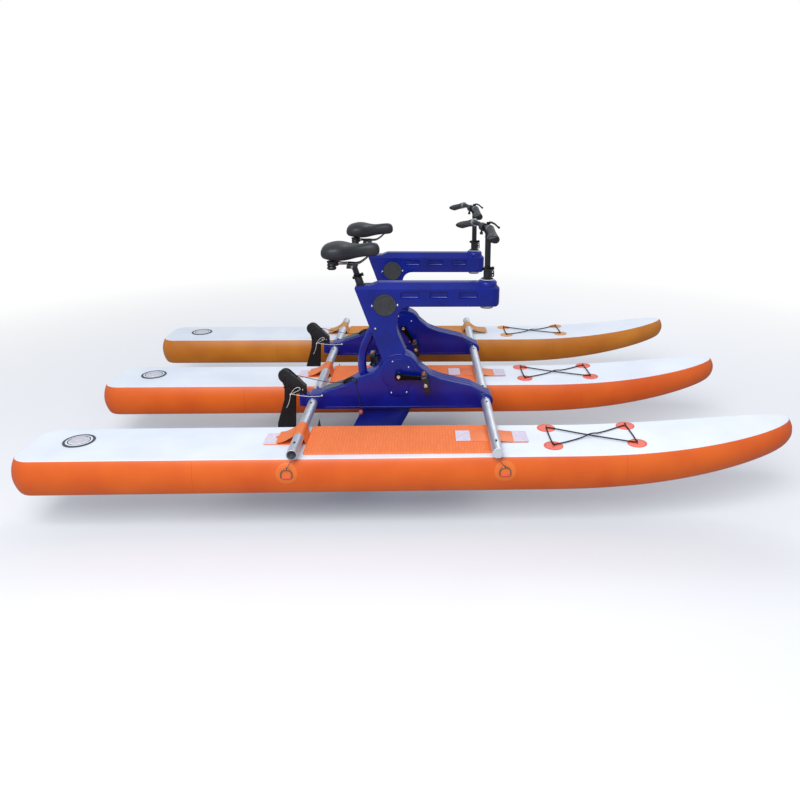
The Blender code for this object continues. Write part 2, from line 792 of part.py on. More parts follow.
def loop_strut():
    """Curved strut between the upright's back and the base, round in plan."""
    path = [(-0.195, 0, 0.560), (-0.222, 0, 0.505), (-0.246, 0, 0.452), (-0.257, 0, 0.400),
            (-0.257, 0, 0.350), (-0.252, 0, 0.300)]
    rings = []
    for index, point in enumerate(path):
        point = Vector(point)
        ahead = Vector(path[min(index + 1, len(path) - 1)]) - Vector(path[max(index - 1, 0)])
        ahead.normalize()
        across = Vector((ahead.z, 0, -ahead.x))
        ring = []
        for corner in rounded([(-0.020, -0.024, 0.009), (0.020, -0.024, 0.009),
                               (0.020, 0.024, 0.009), (-0.020, 0.024, 0.009)], 90):
            ring.append(point + across * corner[0] + Vector((0, corner[1], 0)))
        rings.append(ring)
    return loft(rings)


def shoulder_cutter():
    """Cutter of the arm's top chamfers, which run along both sides and round the front end."""
    slope = (ARM_TOP - ARM_SHOULDER) / ARM_CHAMFER
    near, far = HALF_FRAME - ARM_CHAMFER, HALF_FRAME + 0.020
    section = [(near, ARM_TOP), (far, ARM_TOP - slope * (far - near)),
               (far, ARM_TOP + 0.030), (near, ARM_TOP + 0.030)]
    rings = [[Vector((-0.330, -radius, z)) for radius, z in section]]
    for across, along in arc((0, 0), 1.0, 0, 180, 8):
        rings.append([Vector((ARM_END_X + radius * along, -radius * across, z)) for radius, z in section])
    rings.append([Vector((-0.330, radius, z)) for radius, z in section])
    return loft(rings)


def build_frame(name, y, material):
    """Moulded frame: arm with head boss and seat tube, upright, base, four bar bosses."""
    body = rimmed(side_outline(), -HALF_FRAME, HALF_FRAME, FRAME_EDGE)
    # Half-round front end of the arm
    past = HALF_FRAME + 0.030
    reach = ARM_FRONT + 0.002 - ARM_END_X
    half_round = [(ARM_END_X + reach * x, (HALF_FRAME + 0.0002) * across)
                  for x, across in arc((0, 0), 1.0, -90, 90, 8)]
    beyond = [(ARM_END_X, past), (ARM_FRONT + 0.030, past),
              (ARM_FRONT + 0.030, -past), (ARM_END_X, -past)]
    body = cut(body, prism(half_round + beyond, ARM_BOTTOM - 0.010, ARM_TOP + 0.010, "Z"))
    body = cut(body, shoulder_cutter())
    # Rudder stub, loop strut, bosses, head boss and seat tube
    root = REAR_BAR_X + 0.016
    stub = rounded([(root, -0.026, 0.0), (YAW_X, -0.026, 0.0), (YAW_X - 0.020, -0.016, 0.012),
                    (YAW_X - 0.020, 0.016, 0.012), (YAW_X, 0.026, 0.0), (root, 0.026, 0.0)])
    body = join(body, prism(stub, FRAME_BOTTOM + 0.006, STUB_TOP, "Z"), loop_strut())
    for x in (REAR_BAR_X, FRONT_BAR_X):
        face = HALF_FRAME + BOSS_PROUD
        body = join(body, rod((x, -face, BAR_Z), (x, face, BAR_Z), BOSS_RADIUS - 0.004))
    boss = [(HEAD_BOSS_RADIUS, 0.0), (HEAD_BOSS_RADIUS, 0.030),
            (HEAD_BOSS_RADIUS - 0.013, 0.030 + HEAD_BOSS_RISE)]
    body = join(body, lathe(boss, (HEAD_X, 0, ARM_TOP - 0.030), (0, 0, 1)))
    body = join(body, rod(SEAT_MOUTH - SEAT_AXIS * 0.020, SEAT_MOUTH + SEAT_AXIS * 0.057, SEAT_TUBE_RADIUS))
    body = join(body, rod(fairlead_end(-0.342, -0.019), fairlead_end(-0.314, -0.034),
                          FAIRLEAD_RADIUS, sides=8))
    # Bores
    for x in (REAR_BAR_X, FRONT_BAR_X):
        body = cut(body, rod((x, -past, BAR_Z), (x, past, BAR_Z), BAR_RADIUS + RUNNING_GAP))
    body = cut(body, rod(SEAT_MOUTH - SEAT_AXIS * 0.260, SEAT_MOUTH + SEAT_AXIS * 0.080,
                         SEAT_POST_RADIUS + RUNNING_GAP))
    body = cut(body, rod((HEAD_X, 0, ARM_BOTTOM - 0.010), (HEAD_X, 0, ARM_TOP + 0.030),
                         STEERER_RADIUS + 2 * RUNNING_GAP))
    body = cut(body, rod((YAW_X, 0, STUB_TOP - 0.040), (YAW_X, 0, STUB_TOP + 0.010),
                         YAW_PIN_RADIUS + RUNNING_GAP, sides=12))
    body = cut(body, rod(fairlead_end(-0.350, -0.0147), fairlead_end(-0.306, -0.0383),
                         FAIRLEAD_BORE, sides=8))
    # Gear chamber, spindle bore, shaft bore and the recess of the cover
    recess = HALF_FRAME - COVER_THICKNESS + 0.001
    body = cut(body, prism(cover_outline(2 * GAP), -HALF_FRAME - 0.010, -recess))
    body = cut(body, rod((CRANK_X, -HALF_FRAME, CRANK_Z), (CRANK_X, 0.034, CRANK_Z),
                         GEAR_CHAMBER_RADIUS, sides=20))
    body = cut(body, rod(CRANK_CENTRE, (CRANK_X, past, CRANK_Z), SPINDLE_RADIUS + RUNNING_GAP))
    body = cut(body, rod(CRANK_CENTRE + SHAFT_DOWN * 0.040, CRANK_CENTRE + SHAFT_DOWN * 0.300,
                         SHAFT_BORE_RADIUS))
    # Pockets of the arm and the hatch
    for side in (-1, 1):
        for middle in POCKET_MIDDLES:
            back, front = middle - POCKET_LENGTH / 2, middle + POCKET_LENGTH / 2
            low, high = POCKET_BOTTOM, POCKET_BOTTOM + POCKET_HEIGHT
            corners = [(back, low, 0.008), (front, low, 0.008), (front, high, 0.008), (back, high, 0.008)]
            near, far = side * (HALF_FRAME - POCKET_DEPTH), side * (HALF_FRAME + 0.010)
            body = cut(body, prism(rounded(corners, 90), min(near, far), max(near, far)))
    seat = (HATCH_X, -HALF_FRAME + HATCH_DEPTH, HATCH_Z)
    body = cut(body, rod((HATCH_X, -past, HATCH_Z), seat, HATCH_RADIUS + 2 * GAP, sides=20))
    node(name, body, material, y)


def build_cover(name, y, material):
    """Gearbox cover let into the frame's starboard face, with a lip in the gear chamber."""
    outer = -HALF_FRAME - 0.0012
    inner = -HALF_FRAME + COVER_THICKNESS - 0.001 - GAP
    body = rimmed(cover_outline(0.0), outer, inner, 0.0008)
    lip = lathe([(GEAR_CHAMBER_RADIUS - GAP * 3, 0.0), (GEAR_CHAMBER_RADIUS - GAP * 3, 0.006)],
                (CRANK_X, inner - 0.0005, CRANK_Z), (0, 1, 0), 20)
    body = join(body, lip)
    body = cut(body, rod((CRANK_X, outer - 0.010, CRANK_Z), (CRANK_X, inner + 0.020, CRANK_Z),
                         SPINDLE_RADIUS + RUNNING_GAP))
    node(name, body, material, y)


def build_hatch(name, y, material):
    """Round inspection cap with a rim and a shallow dished face."""
    outer = -HALF_FRAME - 0.0015
    inner = -HALF_FRAME + HATCH_DEPTH - GAP
    depth = inner - outer
    profile = [(HATCH_RADIUS, 0.0), (HATCH_RADIUS, depth - 0.0015), (HATCH_RADIUS - 0.002, depth),
               (HATCH_RADIUS - 0.010, depth), (HATCH_RADIUS - 0.012, depth - 0.0012)]
    body = lathe(profile, (HATCH_X, inner, HATCH_Z), (0, -1, 0), 20)
    node(name, body, material, y)


def leg_ring(z, chord, middle, half):
    """Foil-shaped section of the leg, blunt in front and thin behind."""
    ring = []
    count = 14
    for index in range(count):
        angle = 2 * math.pi * index / count
        x = math.cos(angle)
        thin = math.sin(angle) * (0.72 + 0.28 * x)
        ring.append((middle + x * chord / 2, thin * half, z))
    return ring


def build_leg(name, y, material):
    """Drive leg: a raked foil with a pod for the propeller shaft."""
    top = FRAME_BOTTOM - GAP
    rake = math.tan(math.radians(27.7))
    middle_top = -0.133
    rings = []
    for z in (top, 0.060, 0.0, PROP_AXIS_Z):
        rings.append(leg_ring(z, LEG_CHORD, middle_top - (top - z) * rake, LEG_THICKNESS / 2))
    for share, shrink in ((0.6, 0.86), (1.0, 0.62)):
        z = PROP_AXIS_Z + (LEG_BOTTOM - PROP_AXIS_Z) * share
        middle = middle_top - (top - z) * rake - 0.010 * share
        rings.append(leg_ring(z, LEG_CHORD * shrink, middle, LEG_THICKNESS / 2 * shrink))
    body = loft(rings)
    pod_back = PROP_X + 0.030
    nose = LOWER_APEX.x + 0.110
    length = nose - pod_back
    profile = [(0.021, 0.0), (0.026, 0.020), (POD_RADIUS, 0.060), (POD_RADIUS, length - 0.080),
               (POD_RADIUS * 0.86, length - 0.040), (POD_RADIUS * 0.5, length - 0.010), (0.004, length)]
    body = join(body, lathe(profile, (pod_back, 0, PROP_AXIS_Z), (1, 0, 0), 16))
    body = cut(body, rod(LOWER_APEX, LOWER_APEX - SHAFT_DOWN * 0.300, SHAFT_BORE_RADIUS))
    # The two gears turn in a chamber made of one bore for each
    up = -SHAFT_DOWN
    body = cut(body, rod(LOWER_APEX + up * 0.0095, LOWER_APEX + up * 0.0185,
                         DRIVER_CHAMBER_RADIUS, sides=12))
    body = cut(body, rod((LOWER_APEX.x + 0.0230, 0, PROP_AXIS_Z), (LOWER_APEX.x - 0.010, 0, PROP_AXIS_Z),
                         0.0112, sides=12))
    body = cut(body, rod((LOWER_APEX.x, 0, PROP_AXIS_Z), (pod_back - 0.020, 0, PROP_AXIS_Z),
                         SHAFT_BORE_RADIUS))
    node(name, body, material, y)


def crank_arm(angle):
    """Tapered arm along the crank's angle, eye at its end, between y = 0 and its thickness."""
    big, small = 0.0185, 0.0135
    waist = [(CRANK_LENGTH * 0.3, 0.0125), (CRANK_LENGTH * 0.8, 0.0100)]
    outline = arc((0, 0), big, 65, 295, 7) + [(x, -w) for x, w in waist]
    outline += arc((CRANK_LENGTH, 0), small, -60, 60, 4) + [(x, w) for x, w in reversed(waist)]
    body = rimmed(outline, 0.0, CRANK_THICKNESS, 0.0018)
    body = cut(body, rod((CRANK_LENGTH, -0.010, 0), (CRANK_LENGTH, 0.040, 0),
                         PEDAL_AXLE_RADIUS + RUNNING_GAP, sides=12))
    return turned_about(body, (0, 0, 0), (0, 1, 0), angle)


def build_crank(prefix, y, angle, black):
    """Spindle with crown gear and starboard arm, and the port arm clamped on its other end."""
    shaft_angle = math.pi / 2
    crown_cone = cone_angle(CROWN_TEETH, PINION_TEETH, shaft_angle)
    distance = CROWN_PITCH_RADIUS / math.sin(crown_cone)
    crown, root, height = gear(CROWN_TEETH, crown_cone, distance, CRANK_CENTRE, (0, 1, 0), SHAFT_DOWN, 0.0)
    reach = CRANK_STANDOFF + CRANK_THICKNESS + 0.002
    body = rod((CRANK_X, -CRANK_STANDOFF - 0.004, CRANK_Z), (CRANK_X, reach, CRANK_Z), SPINDLE_RADIUS)
    hub = [(root * 0.86, 0.0), (root * 0.86, 0.009), (0.017, 0.014), (0.017, 0.0335 - height)]
    body = join(body, lathe(hub, (CRANK_X, height - 0.001, CRANK_Z), (0, 1, 0)), crown)
    arm = moved(crank_arm(angle), CRANK_CENTRE + Vector((0, -CRANK_STANDOFF - CRANK_THICKNESS, 0)))
    node(prefix + "_crank_starboard", join(body, arm), black, y, CRANK_CENTRE)
    arm = moved(crank_arm(angle + math.pi), CRANK_CENTRE + Vector((0, CRANK_STANDOFF, 0)))
    arm = cut(arm, rod((CRANK_X, 0, CRANK_Z), (CRANK_X, 0.2, CRANK_Z), SPINDLE_RADIUS + GAP))
    node(prefix + "_crank_port", arm, black, y, CRANK_CENTRE)


def pedal_body():
    """Platform pedal about its axle: a rounded plate with two windows and a barrel."""
    half, width, thick = PEDAL_LENGTH / 2, PEDAL_WIDTH, PEDAL_THICKNESS / 2
    corners = [(-half, 0.0, 0.012), (half, 0.0, 0.012), (half, width, 0.016), (-half, width, 0.016)]
    plate = rimmed(rounded(corners, 45), -thick, thick, 0.0025, "Z")
    for low, high in ((-half + 0.011, -0.0125), (0.0125, half - 0.011)):
        near, far = 0.012, width - 0.012
        corners = [(low, near, 0.005), (high, near, 0.005), (high, far, 0.005), (low, far, 0.005)]
        plate = cut(plate, prism(rounded(corners, 90), -2 * thick, 2 * thick, "Z"))
    barrel = rod((0, 0.002, 0), (0, width - 0.002, 0), 0.0118, sides=12)
    axle = rod((0, -0.005 - CRANK_THICKNESS, 0), (0, 0.010, 0), PEDAL_AXLE_RADIUS, sides=12)
    collar = rod((0, -0.0032, 0), (0, 0.004, 0), 0.0085, sides=12)
    return join(plate, barrel, collar, axle)


def build_pedals(prefix, y, angle, black):
    """The two pedals hang with their plates upright."""
    reach = CRANK_STANDOFF + CRANK_THICKNESS + 0.004
    for label, side, turn in (("starboard", -1, angle), ("port", 1, angle + math.pi)):
        body = pedal_body()
        body = turned_about(body, (0, 0, 0), (0, 1, 0), math.radians(78))
        if side < 0:
            body = mirrored(body)
        centre = CRANK_CENTRE + Vector((CRANK_LENGTH * math.cos(turn), 0, -CRANK_LENGTH * math.sin(turn)))
        body = moved(body, centre + Vector((0, side * reach, 0)))
        node("%s_pedal_%s" % (prefix, label), body, black, y, centre, "%s_crank_%s" % (prefix, label))


def build_drive(prefix, y, steel, black):
    """Bevel drive: leaning shaft with a gear at each end, propeller shaft and propeller."""
    upper = math.pi / 2
    pinion_cone = cone_angle(PINION_TEETH, CROWN_TEETH, upper)
    upper_distance = CROWN_PITCH_RADIUS / math.sin(cone_angle(CROWN_TEETH, PINION_TEETH, upper))
    pinion, root, height = gear(PINION_TEETH, pinion_cone, upper_distance, CRANK_CENTRE, SHAFT_DOWN,
                                (0, 1, 0), math.pi / PINION_TEETH)
    lower = math.pi / 2 - SHAFT_LEAN
    driver_cone = cone_angle(DRIVER_TEETH, PROP_GEAR_TEETH, lower)
    prop_cone = cone_angle(PROP_GEAR_TEETH, DRIVER_TEETH, lower)
    lower_distance = PROP_GEAR_PITCH_RADIUS / math.sin(prop_cone)
    up = -SHAFT_DOWN
    driver, root, driver_height = gear(DRIVER_TEETH, driver_cone, lower_distance, LOWER_APEX,
                                       up, (1, 0, 0), 0.0)
    top = CRANK_CENTRE + SHAFT_DOWN * (height * 0.9)
    bottom = LOWER_APEX + up * (driver_height * 0.9)
    shaft = rod(top, bottom, SHAFT_RADIUS, sides=12)
    for middle in (0.075, 0.300):
        bearing = rod(CRANK_CENTRE + SHAFT_DOWN * (middle - 0.006),
                      CRANK_CENTRE + SHAFT_DOWN * (middle + 0.006), SHAFT_BORE_RADIUS - RUNNING_GAP)
        shaft = join(shaft, bearing)
    shaft = join(shaft, pinion, driver)
    node(prefix + "_drive_shaft", shaft, steel, y, CRANK_CENTRE)

    prop_centre = Vector((PROP_X, 0, PROP_AXIS_Z))
    prop_gear, root, prop_height = gear(PROP_GEAR_TEETH, prop_cone, lower_distance, LOWER_APEX,
                                        (1, 0, 0), up, math.pi / PROP_GEAR_TEETH)
    front = (LOWER_APEX.x + prop_height * 0.9, 0, PROP_AXIS_Z)
    shaft = rod(front, (PROP_X - 0.020, 0, PROP_AXIS_Z), PROP_SHAFT_RADIUS, sides=12)
    for middle in (LOWER_APEX.x - 0.045, PROP_X + 0.042):
        shaft = join(shaft, rod((middle - 0.006, 0, PROP_AXIS_Z), (middle + 0.006, 0, PROP_AXIS_Z),
                                SHAFT_BORE_RADIUS - RUNNING_GAP))
    shaft = join(shaft, prop_gear)
    node(prefix + "_propeller_shaft", shaft, steel, y, prop_centre)

    hub = lathe([(0.0195, 0.0), (0.0205, 0.010), (0.0200, 0.050), (0.0150, 0.066), (0.0060, 0.076)],
                (PROP_X + 0.0295, 0, PROP_AXIS_Z), (-1, 0, 0), 16)
    for index in range(PROP_BLADES):
        spin = 2 * math.pi * index / PROP_BLADES
        rings = []
        for share in (0.0, 0.3, 0.6, 0.88, 1.0):
            radius = 0.014 + (PROP_RADIUS - 0.014) * share
            twist = math.atan2(0.055, radius * 1.15)
            chord = 0.030 + 0.034 * math.sin(math.pi * min(share + 0.08, 1.0)) ** 0.8 - 0.018 * share
            half = 0.0030 - 0.0017 * share
            ring = []
            for step in range(8):
                turn = 2 * math.pi * step / 8
                along, thin = math.cos(turn) * chord / 2, math.sin(turn) * half
                x = along * math.sin(twist) - thin * math.cos(twist)
                side = along * math.cos(twist) + thin * math.sin(twist)
                ring.append((PROP_X - x, side, PROP_AXIS_Z + radius))
            rings.append(ring)
        blade = turned_about(loft(rings), prop_centre, (1, 0, 0), spin)
        hub = join(hub, blade)
    hub = cut(hub, rod((PROP_X + 0.050, 0, PROP_AXIS_Z), (PROP_X - 0.021, 0, PROP_AXIS_Z),
                       PROP_SHAFT_RADIUS + GAP, sides=12))
    node(prefix + "_propeller", hub, black, y, prop_centre, prefix + "_propeller_shaft")


def lever_body(radius):
    """Quick-release lever round a collar whose axis is local Z through the origin; pivot at local +X."""
    hub = 0.0058
    pivot = Vector((radius + hub + GAP, 0, 0))
    barrel = rod(pivot - Vector((0, 0, 0.007)), pivot + Vector((0, 0, 0.007)), hub, sides=12)
    path = []
    for step in range(7):
        angle = math.radians(-20 * step)
        reach = radius + hub + GAP + 0.0035 * math.sin(math.pi * step / 6)
        path.append((reach * math.cos(angle), reach * math.sin(angle), 0.0010 * step))
    handle = sweep(path, [0.0040, 0.0042, 0.0044, 0.0046, 0.0048, 0.0048, 0.0036], 6, 1.5)
    return join(barrel, handle), pivot


def build_seat(prefix, y, slide, lift, vinyl, black):
    """Seat post with its clamp head, saddle with rails and bumpers, and the post's lever."""
    collar_middle = SEAT_MOUTH + SEAT_AXIS * 0.051
    head = SEAT_MOUTH + SEAT_AXIS * (0.112 + lift)
    body = rod(head - SEAT_AXIS * SEAT_POST_LENGTH, head, SEAT_POST_RADIUS)
    seat = head.z - 0.002
    block = [(head.x - 0.030, head.z - 0.020), (head.x + 0.018, head.z - 0.020),
             (head.x + 0.022, seat), (head.x - 0.028, seat)]
    body = join(body, rimmed(block, -0.031, 0.031, 0.003))
    node(prefix + "_seat_post", body, black, y, SEAT_MOUTH)

    # Height of the saddle's rails, and of its crown above them
    rail_radius = 0.0038
    rail_z = seat + rail_radius + GAP
    crown = rail_z + 0.100
    rear = head.x + slide - SADDLE_BEHIND
    stretch = SADDLE_LENGTH / 0.268
    widen = SADDLE_WIDTH / 0.196
    sections = [(0.000, 0.045, 0.061, 0.036), (0.008, 0.070, 0.074, 0.020), (0.030, 0.092, 0.082, 0.008),
                (0.066, 0.098, 0.088, 0.000), (0.100, 0.090, 0.089, 0.001), (0.130, 0.066, 0.085, 0.007),
                (0.165, 0.042, 0.077, 0.010), (0.205, 0.031, 0.072, 0.006), (0.240, 0.027, 0.070, 0.004),
                (0.260, 0.021, 0.063, 0.011), (0.268, 0.010, 0.050, 0.028)]
    rings = []
    for along, half, depth, dip in sections:
        low, high = crown - depth, crown - dip
        ring = []
        for step in range(12):
            angle = 2 * math.pi * step / 12
            side, up = math.cos(angle), math.sin(angle)
            side = math.copysign(abs(side) ** 0.8, side)
            hollow = 0.20 * (1 - abs(side)) if up < 0 else 0.0
            share = math.copysign(abs(up) ** 0.75, up) * (1 - hollow)
            height = (low + high) / 2 + (high - low) / 2 * share
            ring.append((rear + along * stretch, side * half * widen, height))
        rings.append(ring)
    saddle = loft(rings)
    for side in (-1, 1):
        path = [(rear + 0.050, side * 0.046, crown - 0.070), (rear + 0.058, side * 0.040, rail_z + 0.012),
                (rear + 0.080, side * 0.024, rail_z), (rear + 0.165, side * 0.022, rail_z),
                (rear + 0.192, side * 0.020, rail_z + 0.014), (rear + 0.222, side * 0.016, crown - 0.060)]
        saddle = join(saddle, sweep(path, rail_radius, 5))
        bumper = [(0.018, 0.0), (0.022, 0.007), (0.018, 0.015), (0.021, 0.040)]
        saddle = join(saddle, lathe(bumper, (rear + 0.050, side * 0.050, crown - 0.122), (0, 0, 1), 8))
    node(prefix + "_saddle", saddle, vinyl, y, SEAT_MOUTH, prefix + "_seat_post")

    turn = frame_of(SEAT_AXIS)
    lever, pivot = lever_body(SEAT_TUBE_RADIUS)
    place = Matrix.Translation(collar_middle) @ turn.to_4x4()
    bmesh.ops.transform(lever, verts=lever.verts, matrix=place)
    node(prefix + "_seat_lever", lever, black, y, collar_middle + turn @ pivot)


def bar_point(reach, side):
    """Point of the handlebar's centre line at a distance from the middle, steered straight ahead."""
    share = min(reach / HANDLEBAR_HALF, 1.0)
    back = BAR_SETBACK + 0.030 * share ** 1.5
    rise = 0.008 * math.sin(math.pi * min(share / 0.8, 1.0)) - 0.022 * max(0.0, share - 0.45) / 0.55
    return Vector((HEAD_X - back, side * reach, BAR_HEIGHT + rise))


def grip_body(side):
    """Shaped grip with a palm wing behind its outer end."""
    start, end = bar_point(GRIP_START, side), bar_point(HANDLEBAR_HALF, side)
    along = (end - start).normalized()
    behind = Vector((0, 0, 1)).cross(along).normalized()
    if behind.x > 0:
        behind = -behind
    up = along.cross(behind).normalized()
    if up.z < 0:
        up = -up
    rings = []
    for share, radius, wing in ((0.0, 1.06, 0.0), (0.10, 1.0, 0.0), (0.50, 1.0, 0.3),
                                (0.78, 1.03, 0.85), (0.96, 1.03, 1.1), (1.0, 0.90, 0.95)):
        ring = []
        for step in range(8):
            angle = 2 * math.pi * step / 8
            stretch = 1 + wing * max(0.0, math.cos(angle)) ** 0.8
            offset = behind * (math.cos(angle) * radius * stretch) + up * (math.sin(angle) * radius)
            ring.append(start.lerp(end, share) + offset * GRIP_RADIUS)
        rings.append(ring)
    return loft(rings)


def lever_pivot():
    """Pivot of the hand lever, above the bar."""
    return bar_point(0.085, -1) + Vector((0, 0, 0.021))


def handlebar_body():
    """Stem tube, clamp, swept bar and its two grips, steered straight ahead."""
    middle = bar_point(0.0, 1)
    body = rod((HEAD_X, 0, COLLAR_TOP - 0.135), (HEAD_X, 0, BAR_HEIGHT - 0.020), STEM_RADIUS)
    bend = [(HEAD_X + 0.002, 0, BAR_HEIGHT - 0.034), (HEAD_X - 0.004, 0, BAR_HEIGHT - 0.016), middle]
    neck = sweep(bend, [STEM_RADIUS + 0.003, STEM_RADIUS + 0.002, STEM_RADIUS], 8)
    reach = Vector((0, 0.024, 0))
    clamp = rod(middle - reach, middle + reach, HANDLEBAR_RADIUS + 0.008, sides=12)
    body = join(body, neck, clamp)
    knob = rod(middle - Vector((0.012, 0, 0.034)), middle - Vector((0.010, 0, 0.010)), 0.0075, sides=8)
    body = join(body, knob)
    reaches = (0.98 * HANDLEBAR_HALF, GRIP_START, 0.065)
    path = [bar_point(reach, -1) for reach in reaches]
    path += [bar_point(reach, 1) for reach in reversed(reaches)]
    body = join(body, sweep(path, HANDLEBAR_RADIUS, 8), grip_body(-1), grip_body(1))
    pivot = lever_pivot()
    spot = bar_point(0.085, -1)
    along = (bar_point(0.100, -1) - bar_point(0.070, -1)).normalized()
    clip = rod(spot - along * 0.011, spot + along * 0.011, HANDLEBAR_RADIUS + 0.0025, sides=10)
    body = join(body, clip)
    return join(body, rod(spot, pivot - Vector((0, 0, LEVER_HUB + GAP)), 0.0060, sides=8))


def brake_lever_body():
    """Hand lever above the starboard grip, on a hub that turns about the fore and aft line."""
    pivot = lever_pivot()
    body = rod(pivot - Vector((0.008, 0, 0)), pivot + Vector((0.008, 0, 0)), LEVER_HUB, sides=12)
    offsets = [(0, 0, 0), (0, -0.030, 0.0065), (0, -0.085, 0.0065),
               (0.003, -LEVER_REACH * 0.93, -0.004), (0.004, -LEVER_REACH, -0.004)]
    path = [pivot + Vector(offset) for offset in offsets]
    return join(body, sweep(path, [0.0040, 0.0048, 0.0046, 0.0042, 0.0036], 6, 0.8)), pivot


def build_steering(prefix, y, black):
    """Steerer with its crown and collar, handlebar, stem lever and hand lever, turned to port."""
    axis_point = (HEAD_X, 0, 0)
    low = ARM_BOTTOM - 0.0135
    head_top = ARM_TOP + HEAD_BOSS_RISE
    inner = STEM_RADIUS + RUNNING_GAP
    profile = [(0.0325, low), (0.0325, ARM_BOTTOM - GAP), (STEERER_RADIUS, ARM_BOTTOM - GAP),
               (STEERER_RADIUS, head_top + GAP), (0.0290, head_top + GAP), (0.0290, head_top + 0.0045),
               (STEERER_RADIUS, head_top + 0.007), (STEERER_RADIUS, COLLAR_TOP - 0.014),
               (COLLAR_RADIUS, COLLAR_TOP - 0.013), (COLLAR_RADIUS, COLLAR_TOP), (inner, COLLAR_TOP),
               (inner, low), (0.0325, low)]
    body = loft(turned(profile, (HEAD_X, 0, 0), (0, 0, 1)), cap=False)
    body = turned_about(body, axis_point, (0, 0, 1), STEER_ANGLE)
    node(prefix + "_steerer", body, black, y, (HEAD_X, 0, head_top))

    bar = turned_about(handlebar_body(), axis_point, (0, 0, 1), STEER_ANGLE)
    node(prefix + "_handlebar", bar, black, y, (HEAD_X, 0, BAR_HEIGHT), prefix + "_steerer")

    straight = Vector((HEAD_X, 0, 0))
    turn = Matrix.Rotation(STEER_ANGLE, 3, "Z")
    lever, pivot = lever_body(COLLAR_RADIUS)
    collar = Vector((0, 0, COLLAR_TOP - 0.0065))
    lever = turned_about(moved(lever, straight + collar), axis_point, (0, 0, 1), STEER_ANGLE)
    node(prefix + "_stem_lever", lever, black, y, straight + turn @ (pivot + collar), prefix + "_steerer")

    lever, pivot = brake_lever_body()
    lever = turned_about(lever, axis_point, (0, 0, 1), STEER_ANGLE)
    node(prefix + "_brake_lever", lever, black, y, straight + turn @ (pivot - straight),
         prefix + "_handlebar")


def build_rudder(prefix, y, black):
    """Rudder head on its yaw pin and the blade between its cheeks."""
    pivot = (RUDDER_PIVOT_X, RUDDER_PIVOT_Z)
    radius = RUDDER_CHEEK_RADIUS
    lean = -38.6
    front = YAW_X + 0.014
    floor = STUB_TOP + 0.002
    outline = arc(pivot, radius, 90 + lean, 270 + lean, 7)
    outline += [(-0.592, floor), (front, floor), (front, floor + 0.044)]
    half = RUDDER_HEAD_WIDTH / 2
    body = rimmed(outline, -half, half, 0.003)
    slot_front = -0.5775
    slot = [(slot_front, 0.18), (slot_front, 0.36), (-0.72, 0.36), (-0.72, 0.18)]
    body = cut(body, prism(slot, -RUDDER_SLOT / 2, RUDDER_SLOT / 2))
    pin = rod((YAW_X, 0, STUB_TOP - 0.038), (YAW_X, 0, floor + 0.010), YAW_PIN_RADIUS, sides=12)
    washer = rod((YAW_X, 0, STUB_TOP + GAP), (YAW_X, 0, floor + 0.004), 0.012, sides=12)
    reach = half + 0.003
    axle = rod((RUDDER_PIVOT_X, -reach, RUDDER_PIVOT_Z), (RUDDER_PIVOT_X, reach, RUDDER_PIVOT_Z),
               RUDDER_AXLE_RADIUS, sides=12)
    body = join(body, pin, washer, axle)
    body = turned_about(body, (YAW_X, 0, 0), (0, 0, 1), -STEER_ANGLE)
    node(prefix + "_rudder_head", body, black, y, (YAW_X, 0, STUB_TOP))

    thin = RUDDER_BLADE_THICKNESS / 2
    disc = arc(pivot, 0.031, 20, 200, 6)
    outline = disc + rounded([(-0.665, 0.302, 0.0), (-0.646, 0.240, 0.03), (-0.650, 0.180, 0.05),
                              (-0.693, 0.045, 0.10), (-0.700, RUDDER_TIP_Z, 0.040),
                              (-0.612, RUDDER_TIP_Z, 0.050), (-0.597, 0.050, 0.10), (-0.590, 0.180, 0.04),
                              (-0.5835, 0.235, 0.03), (-0.600, 0.290, 0.02)])[1:]
    blade = rimmed(outline, -thin, thin, 0.003)
    blade = cut(blade, rod((RUDDER_PIVOT_X, -0.1, RUDDER_PIVOT_Z), (RUDDER_PIVOT_X, 0.1, RUDDER_PIVOT_Z),
                           RUDDER_AXLE_RADIUS + RUNNING_GAP, sides=12))
    blade = turned_about(blade, (YAW_X, 0, 0), (0, 0, 1), -STEER_ANGLE)
    turn = Matrix.Rotation(-STEER_ANGLE, 3, "Z")
    spot = Vector((YAW_X, 0, 0)) + turn @ Vector((RUDDER_PIVOT_X - YAW_X, 0, RUDDER_PIVOT_Z))
    node(prefix + "_rudder_blade", blade, black, y, spot, prefix + "_rudder_head")


def smooth_route(points, spacing):
    """Evenly spaced points on a smooth curve through a route."""
    points = [Vector(point) for point in points]
    ends = [points[0] * 2 - points[1]] + points + [points[-1] * 2 - points[-2]]
    dense = []
    for index in range(len(points) - 1):
        a, b, c, d = ends[index:index + 4]
        for step in range(24):
            t = step / 24
            square, cube = a * 2 - b * 5 + c * 4 - d, b * 3 - a - c * 3 + d
            dense.append((b * 2 + (c - a) * t + square * t ** 2 + cube * t ** 3) / 2)
    dense.append(points[-1])
    result, travelled = [dense[0]], 0.0
    for before, after in zip(dense, dense[1:]):
        travelled += (after - before).length
        if travelled >= spacing:
            result.append(after)
            travelled = 0.0
    return result


